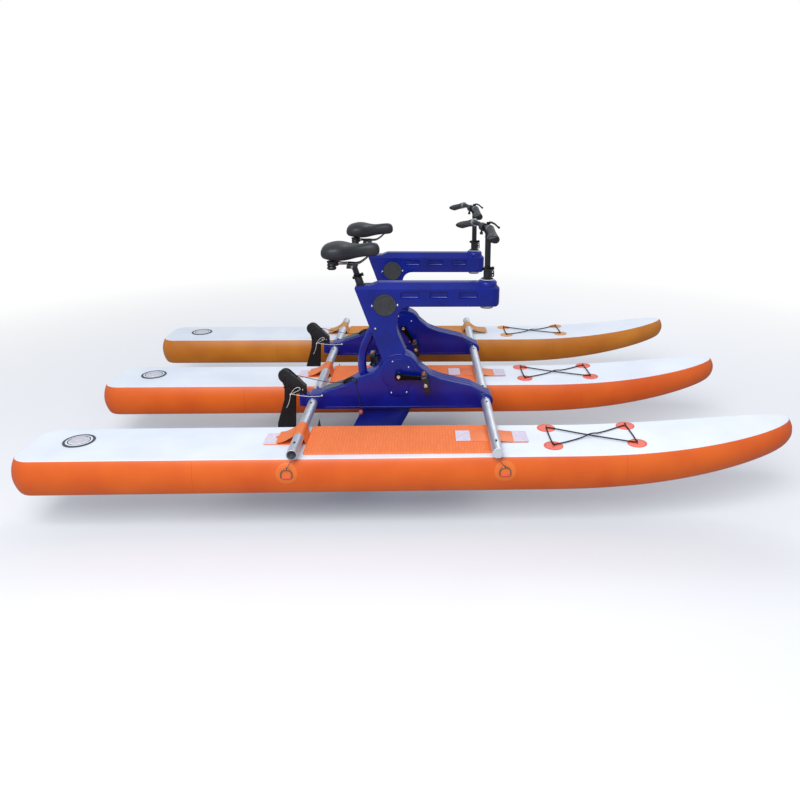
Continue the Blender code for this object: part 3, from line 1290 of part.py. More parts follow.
# From the rudder blade's top, through the fairlead and down the frame's starboard face
LIFT_ROUTE = [(-0.586, 0.000, 0.3106), (-0.560, -0.001, 0.3060), (-0.520, -0.003, 0.2960),
              (-0.470, -0.006, 0.2850), (-0.420, -0.009, 0.2770), (-0.380, -0.012, 0.2765),
              (-0.342, -0.019, 0.2827), (-0.314, -0.034, 0.2971), (-0.302, -0.0435, 0.3052),
              (-0.293, -0.0510, 0.3060), (-0.288, -0.0536, 0.2980), (-0.285, -0.0519, 0.2800),
              (-0.281, -0.0519, 0.2550), (-0.275, -0.0521, 0.2200), (-0.269, -0.0560, 0.1800),
              (-0.266, -0.0615, 0.1500)]


def build_lift_cord(name, y, material):
    """Thin cord that lifts the rudder blade, with a ball on its hanging end."""
    route = smooth_route(LIFT_ROUTE, 6 * LIFT_CORD_RADIUS)
    spots = [(spot, 1.0) for spot in route]
    centre = route[-1] - Vector((0, 0, BALL_RADIUS))
    for step in range(1, 8):
        angle = math.pi * step / 8
        share = BALL_RADIUS / LIFT_CORD_RADIUS * math.sin(angle)
        spots.append((centre + Vector((0, 0, BALL_RADIUS * math.cos(angle))), share))
    cord_object(name, y, material, LIFT_CORD_RADIUS, spots)


def build_bike(prefix, y, crank_angle, saddle_slide, post_lift, m):
    """One pedal frame with everything that it carries."""
    build_frame(prefix + "_frame", y, m["blue"])
    build_cover(prefix + "_gearbox_cover", y, m["blue"])
    build_hatch(prefix + "_hatch_cover", y, m["black"])
    build_leg(prefix + "_drive_leg", y, m["blue"])
    build_crank(prefix, y, crank_angle, m["black"])
    build_pedals(prefix, y, crank_angle, m["black"])
    build_drive(prefix, y, m["steel"], m["black"])
    build_seat(prefix, y, saddle_slide, post_lift, m["vinyl"], m["black"])
    build_steering(prefix, y, m["black"])
    build_rudder(prefix, y, m["black"])
    build_lift_cord(prefix + "_lift_cord", y, m["black"])


def build():
    """The whole boat."""
    clear_scene()
    m = {
        "blue": make_material("blue_polyethylene", "0b1c8c", 0.35),
        "black": make_material("black_polymer", "141517", 0.50),
        "vinyl": make_material("black_vinyl", "24272b", 0.55),
        "steel": make_material("brushed_steel", "b9bcc0", 0.35, 1.0),
        "aluminium": make_material("anodised_aluminium", "d5d8de", 0.35, 1.0),
        "orange": make_material("orange_pvc", "eb6e28", 0.45),
        "amber": make_material("amber_pvc", "cd8232", 0.45),
        "pad": make_material("orange_foam", "ff8c50", 0.80),
        "amber_pad": make_material("amber_foam", "d9913f", 0.80),
        "cord": make_material("black_cord", "1a1a1c", 0.80),
    }
    build_hull("hull_starboard", -HULL_SPACING, m["orange"], -1)
    build_hull("hull_centre", 0.0, m["orange"], 0)
    build_hull("hull_port", HULL_SPACING, m["amber"], 1)
    for side, y in (("starboard", -HULL_SPACING), ("centre", 0.0), ("port", HULL_SPACING)):
        pad = m["amber_pad"] if side == "port" else m["pad"]
        build_deck_pad("deck_pad_" + side, y, pad, side == "port")
        build_rear_strap("rear_strap_" + side, y, pad)
        build_bungee("bungee_" + side, y, m["cord"])
    build_crossbars(m["aluminium"])
    build_bike("starboard", -BIKE_OFFSET, math.radians(4), 0.0, 0.0, m)
    build_bike("port", BIKE_OFFSET, math.radians(54), 0.022, -0.015, m)


build()
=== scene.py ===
"""Looks of the inflatable pedal boat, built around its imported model.

X points to the bow, Y to port and Z up, in metres. Two pedal frames stand on three hulls.
"""
import math

import bmesh
import bpy
from mathutils import Matrix, Vector


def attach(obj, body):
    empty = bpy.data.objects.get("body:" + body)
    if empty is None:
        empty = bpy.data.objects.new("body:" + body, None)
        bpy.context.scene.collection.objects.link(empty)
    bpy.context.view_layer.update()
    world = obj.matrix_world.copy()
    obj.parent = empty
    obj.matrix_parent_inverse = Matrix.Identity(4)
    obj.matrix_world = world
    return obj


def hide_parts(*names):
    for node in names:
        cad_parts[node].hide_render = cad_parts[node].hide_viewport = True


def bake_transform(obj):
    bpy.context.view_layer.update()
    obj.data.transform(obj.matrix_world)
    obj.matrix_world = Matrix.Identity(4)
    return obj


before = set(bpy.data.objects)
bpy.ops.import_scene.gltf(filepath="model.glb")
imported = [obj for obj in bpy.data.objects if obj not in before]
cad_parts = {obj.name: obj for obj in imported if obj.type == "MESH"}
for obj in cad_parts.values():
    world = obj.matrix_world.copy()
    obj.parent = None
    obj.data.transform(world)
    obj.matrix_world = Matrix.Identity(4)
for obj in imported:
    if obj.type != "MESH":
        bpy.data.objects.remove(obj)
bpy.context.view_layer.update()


# Camera at the photograph's eye: well out to starboard, a little above the handlebars. The lens
# is shifted so that the optical axis falls right of and above the middle of the frame.
eye_yaw, eye_pitch, eye_roll = 0.0409, 0.2746, 0.0079
ahead = Vector((math.sin(eye_yaw) * math.cos(eye_pitch), math.cos(eye_yaw) * math.cos(eye_pitch),
                -math.sin(eye_pitch)))
level = Vector((math.cos(eye_yaw), -math.sin(eye_yaw), 0.0))
upright = level.cross(ahead)
eye_right = level * math.cos(eye_roll) + upright * math.sin(eye_roll)
eye_up = upright * math.cos(eye_roll) - level * math.sin(eye_roll)
bpy.ops.object.camera_add(location=(0.039, -3.6128, 1.4344))
camera = bpy.context.object
camera.name = "photo_camera"
camera.rotation_euler = Matrix((eye_right, eye_up, -ahead)).transposed().to_euler()
photo_pixels, focal_pixels, sensor_mm = 800, 684.81, 36.0
camera.data.sensor_width = sensor_mm
camera.data.lens = sensor_mm * focal_pixels / photo_pixels
camera.data.shift_x, camera.data.shift_y = -50 / photo_pixels, -70 / photo_pixels
camera.data.clip_end = 60
bpy.context.scene.camera = camera


# Studio: a wide white floor under the boat, an even white surround and two large soft lamps.
# The boat is held up by its centre hull, so the floor lies just under the rudder blades.
def srgb(hex_colour):
    """Linear colour of an sRGB hex value."""
    values = []
    for start in (0, 2, 4):
        value = int(hex_colour[start:start + 2], 16) / 255
        values.append(value / 12.92 if value <= 0.04045 else ((value + 0.055) / 1.055) ** 2.4)
    return (*values, 1.0)


def add(tree, kind, inputs=None, **settings):
    """A node with its settings; an input is a value or another node's socket."""
    made = tree.nodes.new(kind)
    for name, value in settings.items():
        setattr(made, name, value)
    for socket, value in (inputs or {}).items():
        if isinstance(value, bpy.types.NodeSocket):
            tree.links.new(value, made.inputs[socket])
        else:
            made.inputs[socket].default_value = value
    return made


def deselect():
    if bpy.context.object and bpy.context.object.mode != "OBJECT":
        bpy.ops.object.mode_set(mode="OBJECT")
    bpy.ops.object.select_all(action="DESELECT")


# Painted floor: matt and pale, and pure white where it runs out of the lamps' reach
floor_paint = bpy.data.materials.new("studio_floor")
floor_paint.use_nodes = True
tree = floor_paint.node_tree
floor_shader = tree.nodes["Principled BSDF"]
floor_shader.inputs["Base Color"].default_value = srgb("f4f5f7")
floor_shader.inputs["Roughness"].default_value = 0.9
white = add(tree, "ShaderNodeEmission", {"Color": (1, 1, 1, 1), "Strength": 1.0})
spot = add(tree, "ShaderNodeTexCoord")
spread = add(tree, "ShaderNodeVectorMath", {0: spot.outputs["Object"]}, operation="LENGTH")
fade = add(tree, "ShaderNodeMapRange", {"Value": spread.outputs["Value"], "From Min": 1.9, "From Max": 5.0})
seen = add(tree, "ShaderNodeLightPath")
share = add(tree, "ShaderNodeMath", {0: seen.outputs["Is Camera Ray"], 1: fade.outputs["Result"]},
            operation="MULTIPLY")
# The floor looks pale, and throws back only the light of a mid grey one
unseen = add(tree, "ShaderNodeBsdfDiffuse", {"Color": srgb("a4a6aa")})
pale = add(tree, "ShaderNodeMixShader", {0: share.outputs["Value"], 1: floor_shader.outputs["BSDF"],
                                         2: white.outputs["Emission"]})
blend = add(tree, "ShaderNodeMixShader", {0: seen.outputs["Is Camera Ray"], 1: unseen.outputs["BSDF"],
                                          2: pale.outputs["Shader"]})
tree.links.new(blend.outputs["Shader"], tree.nodes["Material Output"].inputs["Surface"])
deselect()
bpy.ops.mesh.primitive_circle_add(vertices=96, radius=24, fill_type="NGON", location=(0, 0, -0.20))
floor = bpy.context.object
floor.name = "studio_floor"
floor.data.materials.append(floor_paint)

world = bpy.data.worlds.new("studio")
bpy.context.scene.world = world
world.use_nodes = True
tree = world.node_tree
tree.nodes.clear()
seen = add(tree, "ShaderNodeLightPath")
lit = add(tree, "ShaderNodeBackground", {"Color": srgb("eef4ff"), "Strength": 0.60})
shown = add(tree, "ShaderNodeBackground", {"Color": (1, 1, 1, 1), "Strength": 1.0})
direct = add(tree, "ShaderNodeMath", {0: seen.outputs["Is Camera Ray"],
                                      1: seen.outputs["Is Transmission Ray"]}, operation="MAXIMUM")
pick = add(tree, "ShaderNodeMixShader", {0: direct.outputs["Value"], 1: lit.outputs["Background"],
                                         2: shown.outputs["Background"]})
add(tree, "ShaderNodeOutputWorld", {"Surface": pick.outputs["Shader"]})
for lamp_name, place, target, size, power in (("key_lamp", (-1.0, -4.3, 3.9), (0, -0.2, 0.2), 3.0, 200),
                                              ("back_lamp", (1.8, 3.6, 4.2), (0, 0.2, 0.3), 2.6, 70)):
    bpy.ops.object.light_add(type="AREA", location=place)
    lamp = bpy.context.object
    lamp.name = lamp_name
    lamp.data.size = size
    lamp.data.energy = power
    lamp.rotation_euler = (Vector(target) - Vector(place)).to_track_quat("-Z", "Y").to_euler()
bpy.context.scene.view_settings.view_transform = "Standard"


# Lift cords: 3.2 mm black braided polyester that raises the kick-up rudder. Each is made fast to
# the rudder head, lies over the frame's rear slope, goes through a black fairlead and hangs down
# the starboard side to a red plastic ball.
def new_material(name, hex_colour, roughness, metallic=0.0):
    """A Principled material and its tree, to be given its pattern."""
    made = bpy.data.materials.new(name)
    made.use_nodes = True
    shader = made.node_tree.nodes["Principled BSDF"]
    shader.inputs["Base Color"].default_value = srgb(hex_colour)
    shader.inputs["Roughness"].default_value = roughness
    shader.inputs["Metallic"].default_value = metallic
    return made


def mottle(material, scale_mm, darker, lighter, detail=4.0):
    """Colour that wanders between two hex values over patches of a real size."""
    tree = material.node_tree
    place = add(tree, "ShaderNodeTexCoord")
    noise = add(tree, "ShaderNodeTexNoise", {"Vector": place.outputs["Object"], "Scale": 1000 / scale_mm,
                                             "Detail": detail})
    ramp = add(tree, "ShaderNodeValToRGB", {"Fac": noise.outputs["Fac"]})
    ramp.color_ramp.elements[0].position = 0.3
    ramp.color_ramp.elements[0].color = srgb(darker)
    ramp.color_ramp.elements[1].position = 0.7
    ramp.color_ramp.elements[1].color = srgb(lighter)
    tree.links.new(ramp.outputs["Color"], tree.nodes["Principled BSDF"].inputs["Base Color"])
    return noise


def relief(material, height, depth_mm, strength=0.5):
    """Bump from a height socket, with its real depth."""
    tree = material.node_tree
    bump = add(tree, "ShaderNodeBump", {"Height": height, "Strength": strength,
                                        "Distance": depth_mm / 1000})
    tree.links.new(bump.outputs["Normal"], tree.nodes["Principled BSDF"].inputs["Normal"])


def plain(name, hex_colour, roughness, scale_mm, darker, lighter, depth_mm, strength=0.5,
          metallic=0.0):
    """A finish of one colour that wanders a little, with a grain that stands up by depth_mm."""
    made = new_material(name, hex_colour, roughness, metallic)
    relief(made, mottle(made, scale_mm, darker, lighter).outputs["Fac"], depth_mm, strength)
    return made


def braid(name, hex_colour, roughness, strand_mm):
    """Braided cord: two crossing waves that raise its strands."""
    made = new_material(name, hex_colour, roughness)
    tree = made.node_tree
    place = add(tree, "ShaderNodeTexCoord")
    one = add(tree, "ShaderNodeTexWave", {"Vector": place.outputs["Object"], "Scale": 160 / strand_mm,
                                          "Distortion": 0.4}, bands_direction="DIAGONAL")
    turned = add(tree, "ShaderNodeMapping", {"Vector": place.outputs["Object"],
                                             "Rotation": (1.1, 0.4, 1.57)})
    two = add(tree, "ShaderNodeTexWave", {"Vector": turned.outputs["Vector"], "Scale": 160 / strand_mm,
                                          "Distortion": 0.4}, bands_direction="DIAGONAL")
    both = add(tree, "ShaderNodeMath", {0: one.outputs["Fac"], 1: two.outputs["Fac"]}, operation="MULTIPLY")
    relief(made, both.outputs["Value"], 0.25, 0.7)
    return made


sides = {"starboard": -0.43, "port": 0.43}
lift_route = [(-0.586, 0.000, 0.3106), (-0.560, -0.001, 0.3060), (-0.520, -0.003, 0.2960),
              (-0.470, -0.006, 0.2850), (-0.420, -0.009, 0.2770), (-0.380, -0.012, 0.2765),
              (-0.342, -0.019, 0.2827), (-0.314, -0.034, 0.2971), (-0.302, -0.0435, 0.3052),
              (-0.293, -0.0510, 0.3060), (-0.288, -0.0536, 0.2980), (-0.285, -0.0519, 0.2800),
              (-0.281, -0.0519, 0.2550), (-0.275, -0.0521, 0.2200), (-0.269, -0.0560, 0.1800),
              (-0.266, -0.0615, 0.1500)]
lift_radius, ball_radius = 0.0016, 0.011
# Braided polyester: black, with little shine
black_braid = braid("braided_polyester_black", "17181b", 0.75, 1.6)
# Dyed polypropylene: moulded smooth, an even satin red
ball_red = plain("dyed_polypropylene_red", "b4545a", 0.38, 6, "a84a50", "c2626a", 0.1)


def cord_curve(name, points, radius, material, closed=False):
    """Round cord through points, as one smooth spline."""
    deselect()
    bpy.ops.curve.primitive_nurbs_path_add()
    made = bpy.context.object
    made.name = made.data.name = name
    curve = made.data
    curve.splines.clear()
    spline = curve.splines.new("BEZIER")
    spline.bezier_points.add(len(points) - 1)
    for knot, point in zip(spline.bezier_points, points):
        knot.co = point
        knot.handle_left_type = knot.handle_right_type = "AUTO"
    spline.use_cyclic_u = closed
    spline.resolution_u = curve.resolution_u = 8
    curve.bevel_depth = radius
    curve.bevel_resolution = 3
    curve.use_fill_caps = not closed
    curve.materials.append(material)
    return made


def activate(*pieces):
    """Leave just these pieces selected, the first one active."""
    deselect()
    for piece in pieces:
        piece.select_set(True)
    bpy.context.view_layer.objects.active = pieces[0]


def place_in_mesh(piece):
    """Move a piece's place, turn and size into its mesh."""
    activate(piece)
    bpy.ops.object.transform_apply(location=True, rotation=True, scale=True)


for side, bike_y in sides.items():
    route = [(x, y + bike_y, z) for x, y, z in lift_route]
    lift_cord = cord_curve(side + "_lift_line", route, lift_radius, black_braid)
    bpy.ops.mesh.primitive_uv_sphere_add(segments=24, ring_count=16, radius=ball_radius,
                                         location=(route[-1][0], route[-1][1], route[-1][2] - ball_radius))
    ball = bpy.context.object
    ball.name = side + "_lift_ball"
    bpy.ops.object.mode_set(mode="EDIT")
    bpy.ops.mesh.select_all(action="SELECT")
    bpy.ops.transform.resize(value=(1, 1, 1.12))
    bpy.ops.object.mode_set(mode="OBJECT")
    place_in_mesh(ball)
    bpy.ops.object.shade_smooth()
    ball.data.materials.append(ball_red)
    for piece in (lift_cord, ball):
        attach(piece, "boat")
    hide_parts(side + "_lift_cord")


# Hulls: drop-stitch inflatables of coated polyester, welded from a white deck, a coloured side
# wall and a white bottom. The deck sheet wraps a few millimetres over the wall, which bulges.
# The port hull is of an older, amber batch of the same cloth.
hulls = {"starboard": -0.86, "centre": 0.0, "port": 0.86}
cloth_slots = {"starboard": "orange_pvc", "centre": "orange_pvc", "port": "amber_pvc"}
hull_length, hull_thickness, deck_half, wall_bulge = 3.300, 0.155, 0.160, 0.022
stern_corner, bow_start, rocker_start, rocker_rate, bow_thinning = 0.080, 0.850, 0.600, 0.130, 0.300
deck_shift = 0.030


def hull_rise(x):
    """How far the bottom has curved up towards the bow."""
    return rocker_rate * max(0.0, x - rocker_start) ** 2


def hull_depth(x):
    """Thickness, which falls off towards the bow."""
    run = max(0.0, x - rocker_start) / (hull_length / 2 - rocker_start)
    return hull_thickness * (1 - bow_thinning * run ** 1.5)


def deck_height(x):
    """Height of the deck above the keel line."""
    return hull_rise(x) + hull_depth(x)


def half_width(x):
    """Half the deck's width: round stern corners, a long pointed bow."""
    from_stern = x + hull_length / 2
    if from_stern < stern_corner:
        rest = stern_corner - from_stern
        return deck_half - stern_corner + math.sqrt(max(0.0, stern_corner ** 2 - rest ** 2))
    if x > bow_start:
        run = min(0.9996, (x - bow_start) / (hull_length / 2 - bow_start))
        return deck_half * math.sqrt(1 - run ** 2.1)
    return deck_half


def settle(piece, body, slot, *nodes):
    """Put a finished piece's place in its mesh and hang it on its body."""
    place_in_mesh(piece)
    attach(piece, body)
    if nodes:
        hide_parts(*nodes)
    return piece


def cut_loops(piece, axis, places):
    """Edge loops across a mesh at places along one axis."""
    activate(piece)
    bpy.ops.object.mode_set(mode="EDIT")
    normal = [0.0, 0.0, 0.0]
    normal[axis] = 1.0
    for place in places:
        bpy.ops.mesh.select_all(action="SELECT")
        bpy.ops.mesh.bisect(plane_co=[place * part for part in normal], plane_no=normal)
    bpy.ops.object.mode_set(mode="OBJECT")


def tidy_mesh(piece, near=2e-5):
    """Merge what touches and point all faces out."""
    activate(piece)
    bpy.ops.object.mode_set(mode="EDIT")
    bpy.ops.mesh.select_all(action="SELECT")
    bpy.ops.mesh.remove_doubles(threshold=near)
    bpy.ops.mesh.normals_make_consistent(inside=False)
    bpy.ops.object.mode_set(mode="OBJECT")


def coated_cloth(name, hex_colour, darker, lighter, seams=()):
    """PVC-coated cloth: satin, a faint weave under the coat, and darker seams across the wall."""
    made = new_material(name, hex_colour, 0.42)
    tree = made.node_tree
    shader = tree.nodes["Principled BSDF"]
    shader.inputs["IOR"].default_value = 1.53
    shader.inputs["Coat Weight"].default_value = 0.12
    shader.inputs["Coat Roughness"].default_value = 0.35
    mottle(made, 220, darker, lighter, 2.0)
    place = add(tree, "ShaderNodeTexCoord")
    # The 1 mm weave is drawn at 3 mm so that it shows
    weave = add(tree, "ShaderNodeTexWave", {"Vector": place.outputs["Object"], "Scale": 1000 / 3 / 6.3,
                                            "Distortion": 0.6, "Detail": 1.0})
    pucker = add(tree, "ShaderNodeTexNoise", {"Vector": place.outputs["Object"], "Scale": 14.0,
                                              "Detail": 3.0})
    fine = add(tree, "ShaderNodeMath", {0: weave.outputs["Fac"], 1: 0.10}, operation="MULTIPLY")
    height = add(tree, "ShaderNodeMath", {0: fine.outputs["Value"], 1: pucker.outputs["Fac"]},
                 operation="ADD")
    relief(made, height.outputs["Value"], 1.0, 0.35)
    if seams:
        ramp = tree.nodes["Color Ramp"]
        axes = add(tree, "ShaderNodeSeparateXYZ", {"Vector": place.outputs["Object"]})
        shade = ramp.outputs["Color"]
        for seam in seams:
            off = add(tree, "ShaderNodeMath", {0: axes.outputs["X"], 1: seam}, operation="SUBTRACT")
            near = add(tree, "ShaderNodeMath", {0: off.outputs["Value"], 1: 0.0, 2: 0.0016},
                       operation="COMPARE")
            dark = add(tree, "ShaderNodeMix", {0: near.outputs["Value"], 6: shade, 7: srgb(darker)},
                       data_type="RGBA")
            shade = dark.outputs[2]
        tree.links.new(shade, shader.inputs["Base Color"])
    return made


# Cloth in four colours: the coat lies over the weave, so each is satin and nearly smooth
seam_places = (-0.909, 0.894)
deck_white = coated_cloth("pvc_cloth_white", "e9eff8", "e2e9f4", "eff4fb")
bottom_white = coated_cloth("pvc_cloth_bottom", "dfe4ec", "d9dee6", "e6eaf1")
wall_orange = coated_cloth("pvc_cloth_orange", "ea620a", "e25a06", "f06c12", seam_places)
wall_amber = coated_cloth("pvc_cloth_amber", "cf7a14", "c5700e", "d8851c", seam_places)
stern_x, bow_x = -hull_length / 2, hull_length / 2
stations = [stern_x + stern_corner * (1 - math.cos(math.radians(a))) for a in range(9, 91, 9)]
stations += [stern_x + stern_corner + (rocker_start - stern_x - stern_corner) * step / 12
             for step in range(1, 13)]
stations += [0.66, 0.72, 0.78, 0.84]
stations += [bow_start + (bow_x - bow_start) * math.sin(math.radians(a)) for a in range(6, 88, 5)]
wall_levels = 14


def hull_piece(name, hull_y, wall_paint):
    """A block with loops at each station, drawn out to the hull's form."""
    deselect()
    bpy.ops.mesh.primitive_cube_add(size=2)
    hull = bpy.context.object
    hull.name = name
    cut_loops(hull, 0, [x / bow_x for x in stations])
    cut_loops(hull, 1, [-0.985, -0.94, -0.6, -0.2, 0.2, 0.6, 0.94, 0.985])
    cut_loops(hull, 2, [-math.cos(math.pi * level / wall_levels) for level in range(1, wall_levels)])
    for vert in hull.data.vertices:
        a, b, c = vert.co
        x = a * bow_x
        share = (c + 1) / 2
        point = Vector((x, half_width(x) * b, hull_rise(x) + hull_depth(x) * share))
        if 0.001 < share < 0.999 and (abs(b) > 0.999 or abs(a) > 0.999):
            slope = (half_width(x + 0.002) - half_width(x - 0.002)) / 0.004
            out = Vector((math.copysign(1, a), 0, 0))
            if abs(b) > 0.999:
                out = Vector((-slope, 1.0 if b > 0 else -1.0, 0)).normalized()
            if abs(a) > 0.999 and abs(b) > 0.999:
                out = Vector((math.copysign(1, a), math.copysign(0.25, b), 0)).normalized()
            point += out * (wall_bulge * math.sin(math.pi * share) ** 0.75)
        point.y += hull_y
        vert.co = point
    for paint in (wall_paint, deck_white, bottom_white):
        hull.data.materials.append(paint)
    for face in hull.data.polygons:
        flat = abs(face.normal.z)
        x = face.center.x
        high = (face.center.z - hull_rise(x)) / hull_depth(x)
        face.material_index = 1 if high > 0.972 else 2 if high < 0.012 and flat > 0.7 else 0
    tidy_mesh(hull, 1e-6)
    bpy.ops.object.shade_smooth()
    return hull


for side, hull_y in hulls.items():
    hull = hull_piece(side + "_hull", hull_y, wall_amber if side == "port" else wall_orange)
    settle(hull, "boat", cloth_slots[side], "hull_" + side)


# Valves: a screw cap in a welded flange near each stern, of moulded polyamide. From outside in:
# dark flange, white ring, dark groove and a pale lilac cap with a grip bar.

# Moulded polyamide: an even satin face, in the parts' three colours
flange_dark = plain("moulded_polyamide_dark", "3c4348", 0.45, 8, "363c41", "444b50", 0.1)
ring_white = plain("moulded_polyamide_white", "e8ecf2", 0.4, 8, "e2e7ee", "eef1f5", 0.1)
cap_lilac = plain("moulded_polyamide_lilac", "c9c6d2", 0.38, 8, "c1bdcb", "d2d0da", 0.1)


def smooth(degrees):
    """Shade the selected piece smooth, apart from edges sharper than an angle."""
    bpy.ops.object.shade_smooth_by_angle(angle=math.radians(degrees))


def stepped_disc(name, centre, axis, radius, steps, paints, sides_count=48):
    """A disc on an axis, its top stepped inwards: (inset, rise, material) each."""
    deselect()
    bpy.ops.mesh.primitive_cylinder_add(vertices=sides_count, radius=radius, depth=0.002,
                                        end_fill_type="NGON")
    disc = bpy.context.object
    disc.name = name
    for paint in paints:
        disc.data.materials.append(paint)
    bpy.ops.object.mode_set(mode="EDIT")
    bpy.ops.mesh.select_mode(type="FACE")
    mesh = bmesh.from_edit_mesh(disc.data)
    for face in mesh.faces:
        face.select_set(face.normal.z > 0.9)
    bmesh.update_edit_mesh(disc.data)
    for inset, rise, paint in steps:
        if inset:
            bpy.ops.mesh.inset(thickness=inset, depth=0)
        if rise:
            bpy.ops.mesh.extrude_region_move(TRANSFORM_OT_translate={"value": (0, 0, rise)})
        disc.active_material_index = paint
        bpy.ops.object.material_slot_assign()
    bpy.ops.object.mode_set(mode="OBJECT")
    facing = Vector(axis).to_track_quat("Z", "Y").to_matrix().to_4x4()
    disc.matrix_world = Matrix.Translation(centre) @ facing
    bevel = disc.modifiers.new("rims", "BEVEL")
    bevel.width, bevel.segments = 0.0005, 2
    bevel.limit_method, bevel.angle_limit = "ANGLE", math.radians(50)
    activate(disc)
    bpy.ops.object.modifier_apply(modifier="rims")
    bpy.ops.object.mode_set(mode="EDIT")
    bpy.ops.mesh.select_all(action="SELECT")
    bpy.ops.mesh.remove_doubles(threshold=2e-5)
    bpy.ops.mesh.dissolve_degenerate(threshold=2e-5)
    bpy.ops.object.mode_set(mode="OBJECT")
    smooth(40)
    return disc


def join_all(name, *pieces):
    """Join finished pieces into one of that name."""
    activate(*pieces)
    if len(pieces) > 1:
        bpy.ops.object.join()
    made = bpy.context.object
    made.name = name
    return made


def eased_block(size, centre, ease, segments, paint, turn=0.0):
    """A block at its place, its edges rounded."""
    deselect()
    bpy.ops.mesh.primitive_cube_add(size=1, location=centre, rotation=(0, 0, turn))
    block = bpy.context.object
    block.scale = size
    place_in_mesh(block)
    edges = block.modifiers.new("ease", "BEVEL")
    edges.width, edges.segments = ease, segments
    bpy.ops.object.modifier_apply(modifier="ease")
    block.data.materials.append(paint)
    return block


valve_x = -hull_length / 2 + 0.200
for side, hull_y in hulls.items():
    centre = (valve_x, hull_y + deck_shift, hull_thickness + 0.0011)
    valve = stepped_disc(side + "_valve", centre, (0, 0, 1), 0.065,
                         ((0.0, 0.0015, 0), (0.0105, -0.0008, 1), (0.0075, 0.0010, 0), (0.0050, -0.0006, 1),
                          (0.0040, 0.0030, 2), (0.0035, -0.0008, 2), (0.0160, 0.0012, 2)),
                         (flange_dark, ring_white, cap_lilac))
    grip = eased_block((0.036, 0.007, 0.004), (centre[0], centre[1], hull_thickness + 0.0065), 0.0018, 3,
                       cap_lilac, 0.5)
    bpy.ops.object.shade_smooth()
    settle(join_all(side + "_valve", valve, grip), "boat", "orange_pvc")


# Bungee patches and bungees: round coated-cloth patches welded to the foredeck, each with a
# webbing loop, and a 6 mm shock cord in a black braided sleeve that laces them in a cross.
patch_radius, bungee_radius = 0.042, 0.003
patch_aft, patch_fore, patch_out = 0.600, 0.965, 0.093
# The patches are of the hull's cloth, in a redder batch and in amber
patch_coral = coated_cloth("pvc_cloth_coral", "ea5a3c", "e25033", "f06648")
patch_amber = coated_cloth("pvc_cloth_amber_patch", "dc9550", "d38a45", "e5a05c")
# Polypropylene webbing: matt black, its cross ribs 1.2 mm apart
loop_webbing = new_material("polypropylene_webbing_black", "1c1c1f", 0.85)
tree = loop_webbing.node_tree
place = add(tree, "ShaderNodeTexCoord")
ribs = add(tree, "ShaderNodeTexWave", {"Vector": place.outputs["Object"], "Scale": 1000 / 1.2 / 6.3})
relief(loop_webbing, ribs.outputs["Fac"], 0.3)
# Braided sleeve of the shock cord: coarser than the lift cord's braid
sleeve = braid("braided_sleeve_black", "202125", 0.8, 2.2)


def deck_normal(x):
    """Which way the deck faces at a place along it."""
    return Vector((-(deck_height(x + 0.01) - deck_height(x - 0.01)) / 0.02, 0, 1)).normalized()


for side, hull_y in hulls.items():
    places = [(x, deck_shift + across) for x in (patch_aft, patch_fore)
              for across in (-patch_out, patch_out)]
    paint = patch_amber if side == "port" else patch_coral
    discs = []
    for x, across in places:
        spot = Vector((x, hull_y + across, deck_height(x))) + deck_normal(x) * 0.0011
        discs.append(stepped_disc("patch", spot, deck_normal(x), patch_radius,
                                  ((0.004, 0.0006, 0), (0.012, 0.0, 0)), (paint,), 40))
    settle(join_all(side + "_bungee_patches", *discs), "boat", cloth_slots[side])
    loops = []
    for index, (x, across) in enumerate(places):
        aim = Vector((places[(index + 2) % 4][0] - x, -across + deck_shift, 0))
        deselect()
        bpy.ops.mesh.primitive_torus_add(major_segments=24, minor_segments=8, major_radius=0.0075,
                                         minor_radius=0.0022)
        loop = bpy.context.object
        loop.scale = (1.0, 1.0, 0.8)
        loop.rotation_euler = (math.pi / 2, 0, math.atan2(aim.y, aim.x) + math.pi / 2)
        loop.location = Vector((x, hull_y + across, deck_height(x))) + deck_normal(x) * 0.0055
        place_in_mesh(loop)
        bpy.ops.object.shade_smooth()
        loop.data.materials.append(loop_webbing)
        loops.append(loop)
    settle(join_all(side + "_bungee_loops", *loops), "boat", "black_cord")
    lift, bend = 0.002 + bungee_radius + 0.0006, 0.012
    knots = []
    for index in range(4):
        here = Vector((*places[index], 0))
        follow = Vector((*places[(index + 1) % 4], 0))
        back = (Vector((*places[index - 1], 0)) - here).normalized() * bend
        forth = (follow - here).normalized() * bend
        knots += [here + back, here + back * 0.3 + forth * 0.3, here + forth]
        if index % 2:
            hump = 2.2 * bungee_radius if index == 3 else 0.0
            over = ((0.38, 0), (0.5, hump), (0.62, 0))
            knots += [here.lerp(follow, share) + Vector((0, 0, rise)) for share, rise in over]
    knots = [(k.x, k.y + hull_y, k.z + deck_height(k.x) + lift) for k in knots]
    bungee = cord_curve(side + "_bungee_cord", knots, bungee_radius, sleeve, True)
    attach(bungee, "boat")
    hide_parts("bungee_" + side)


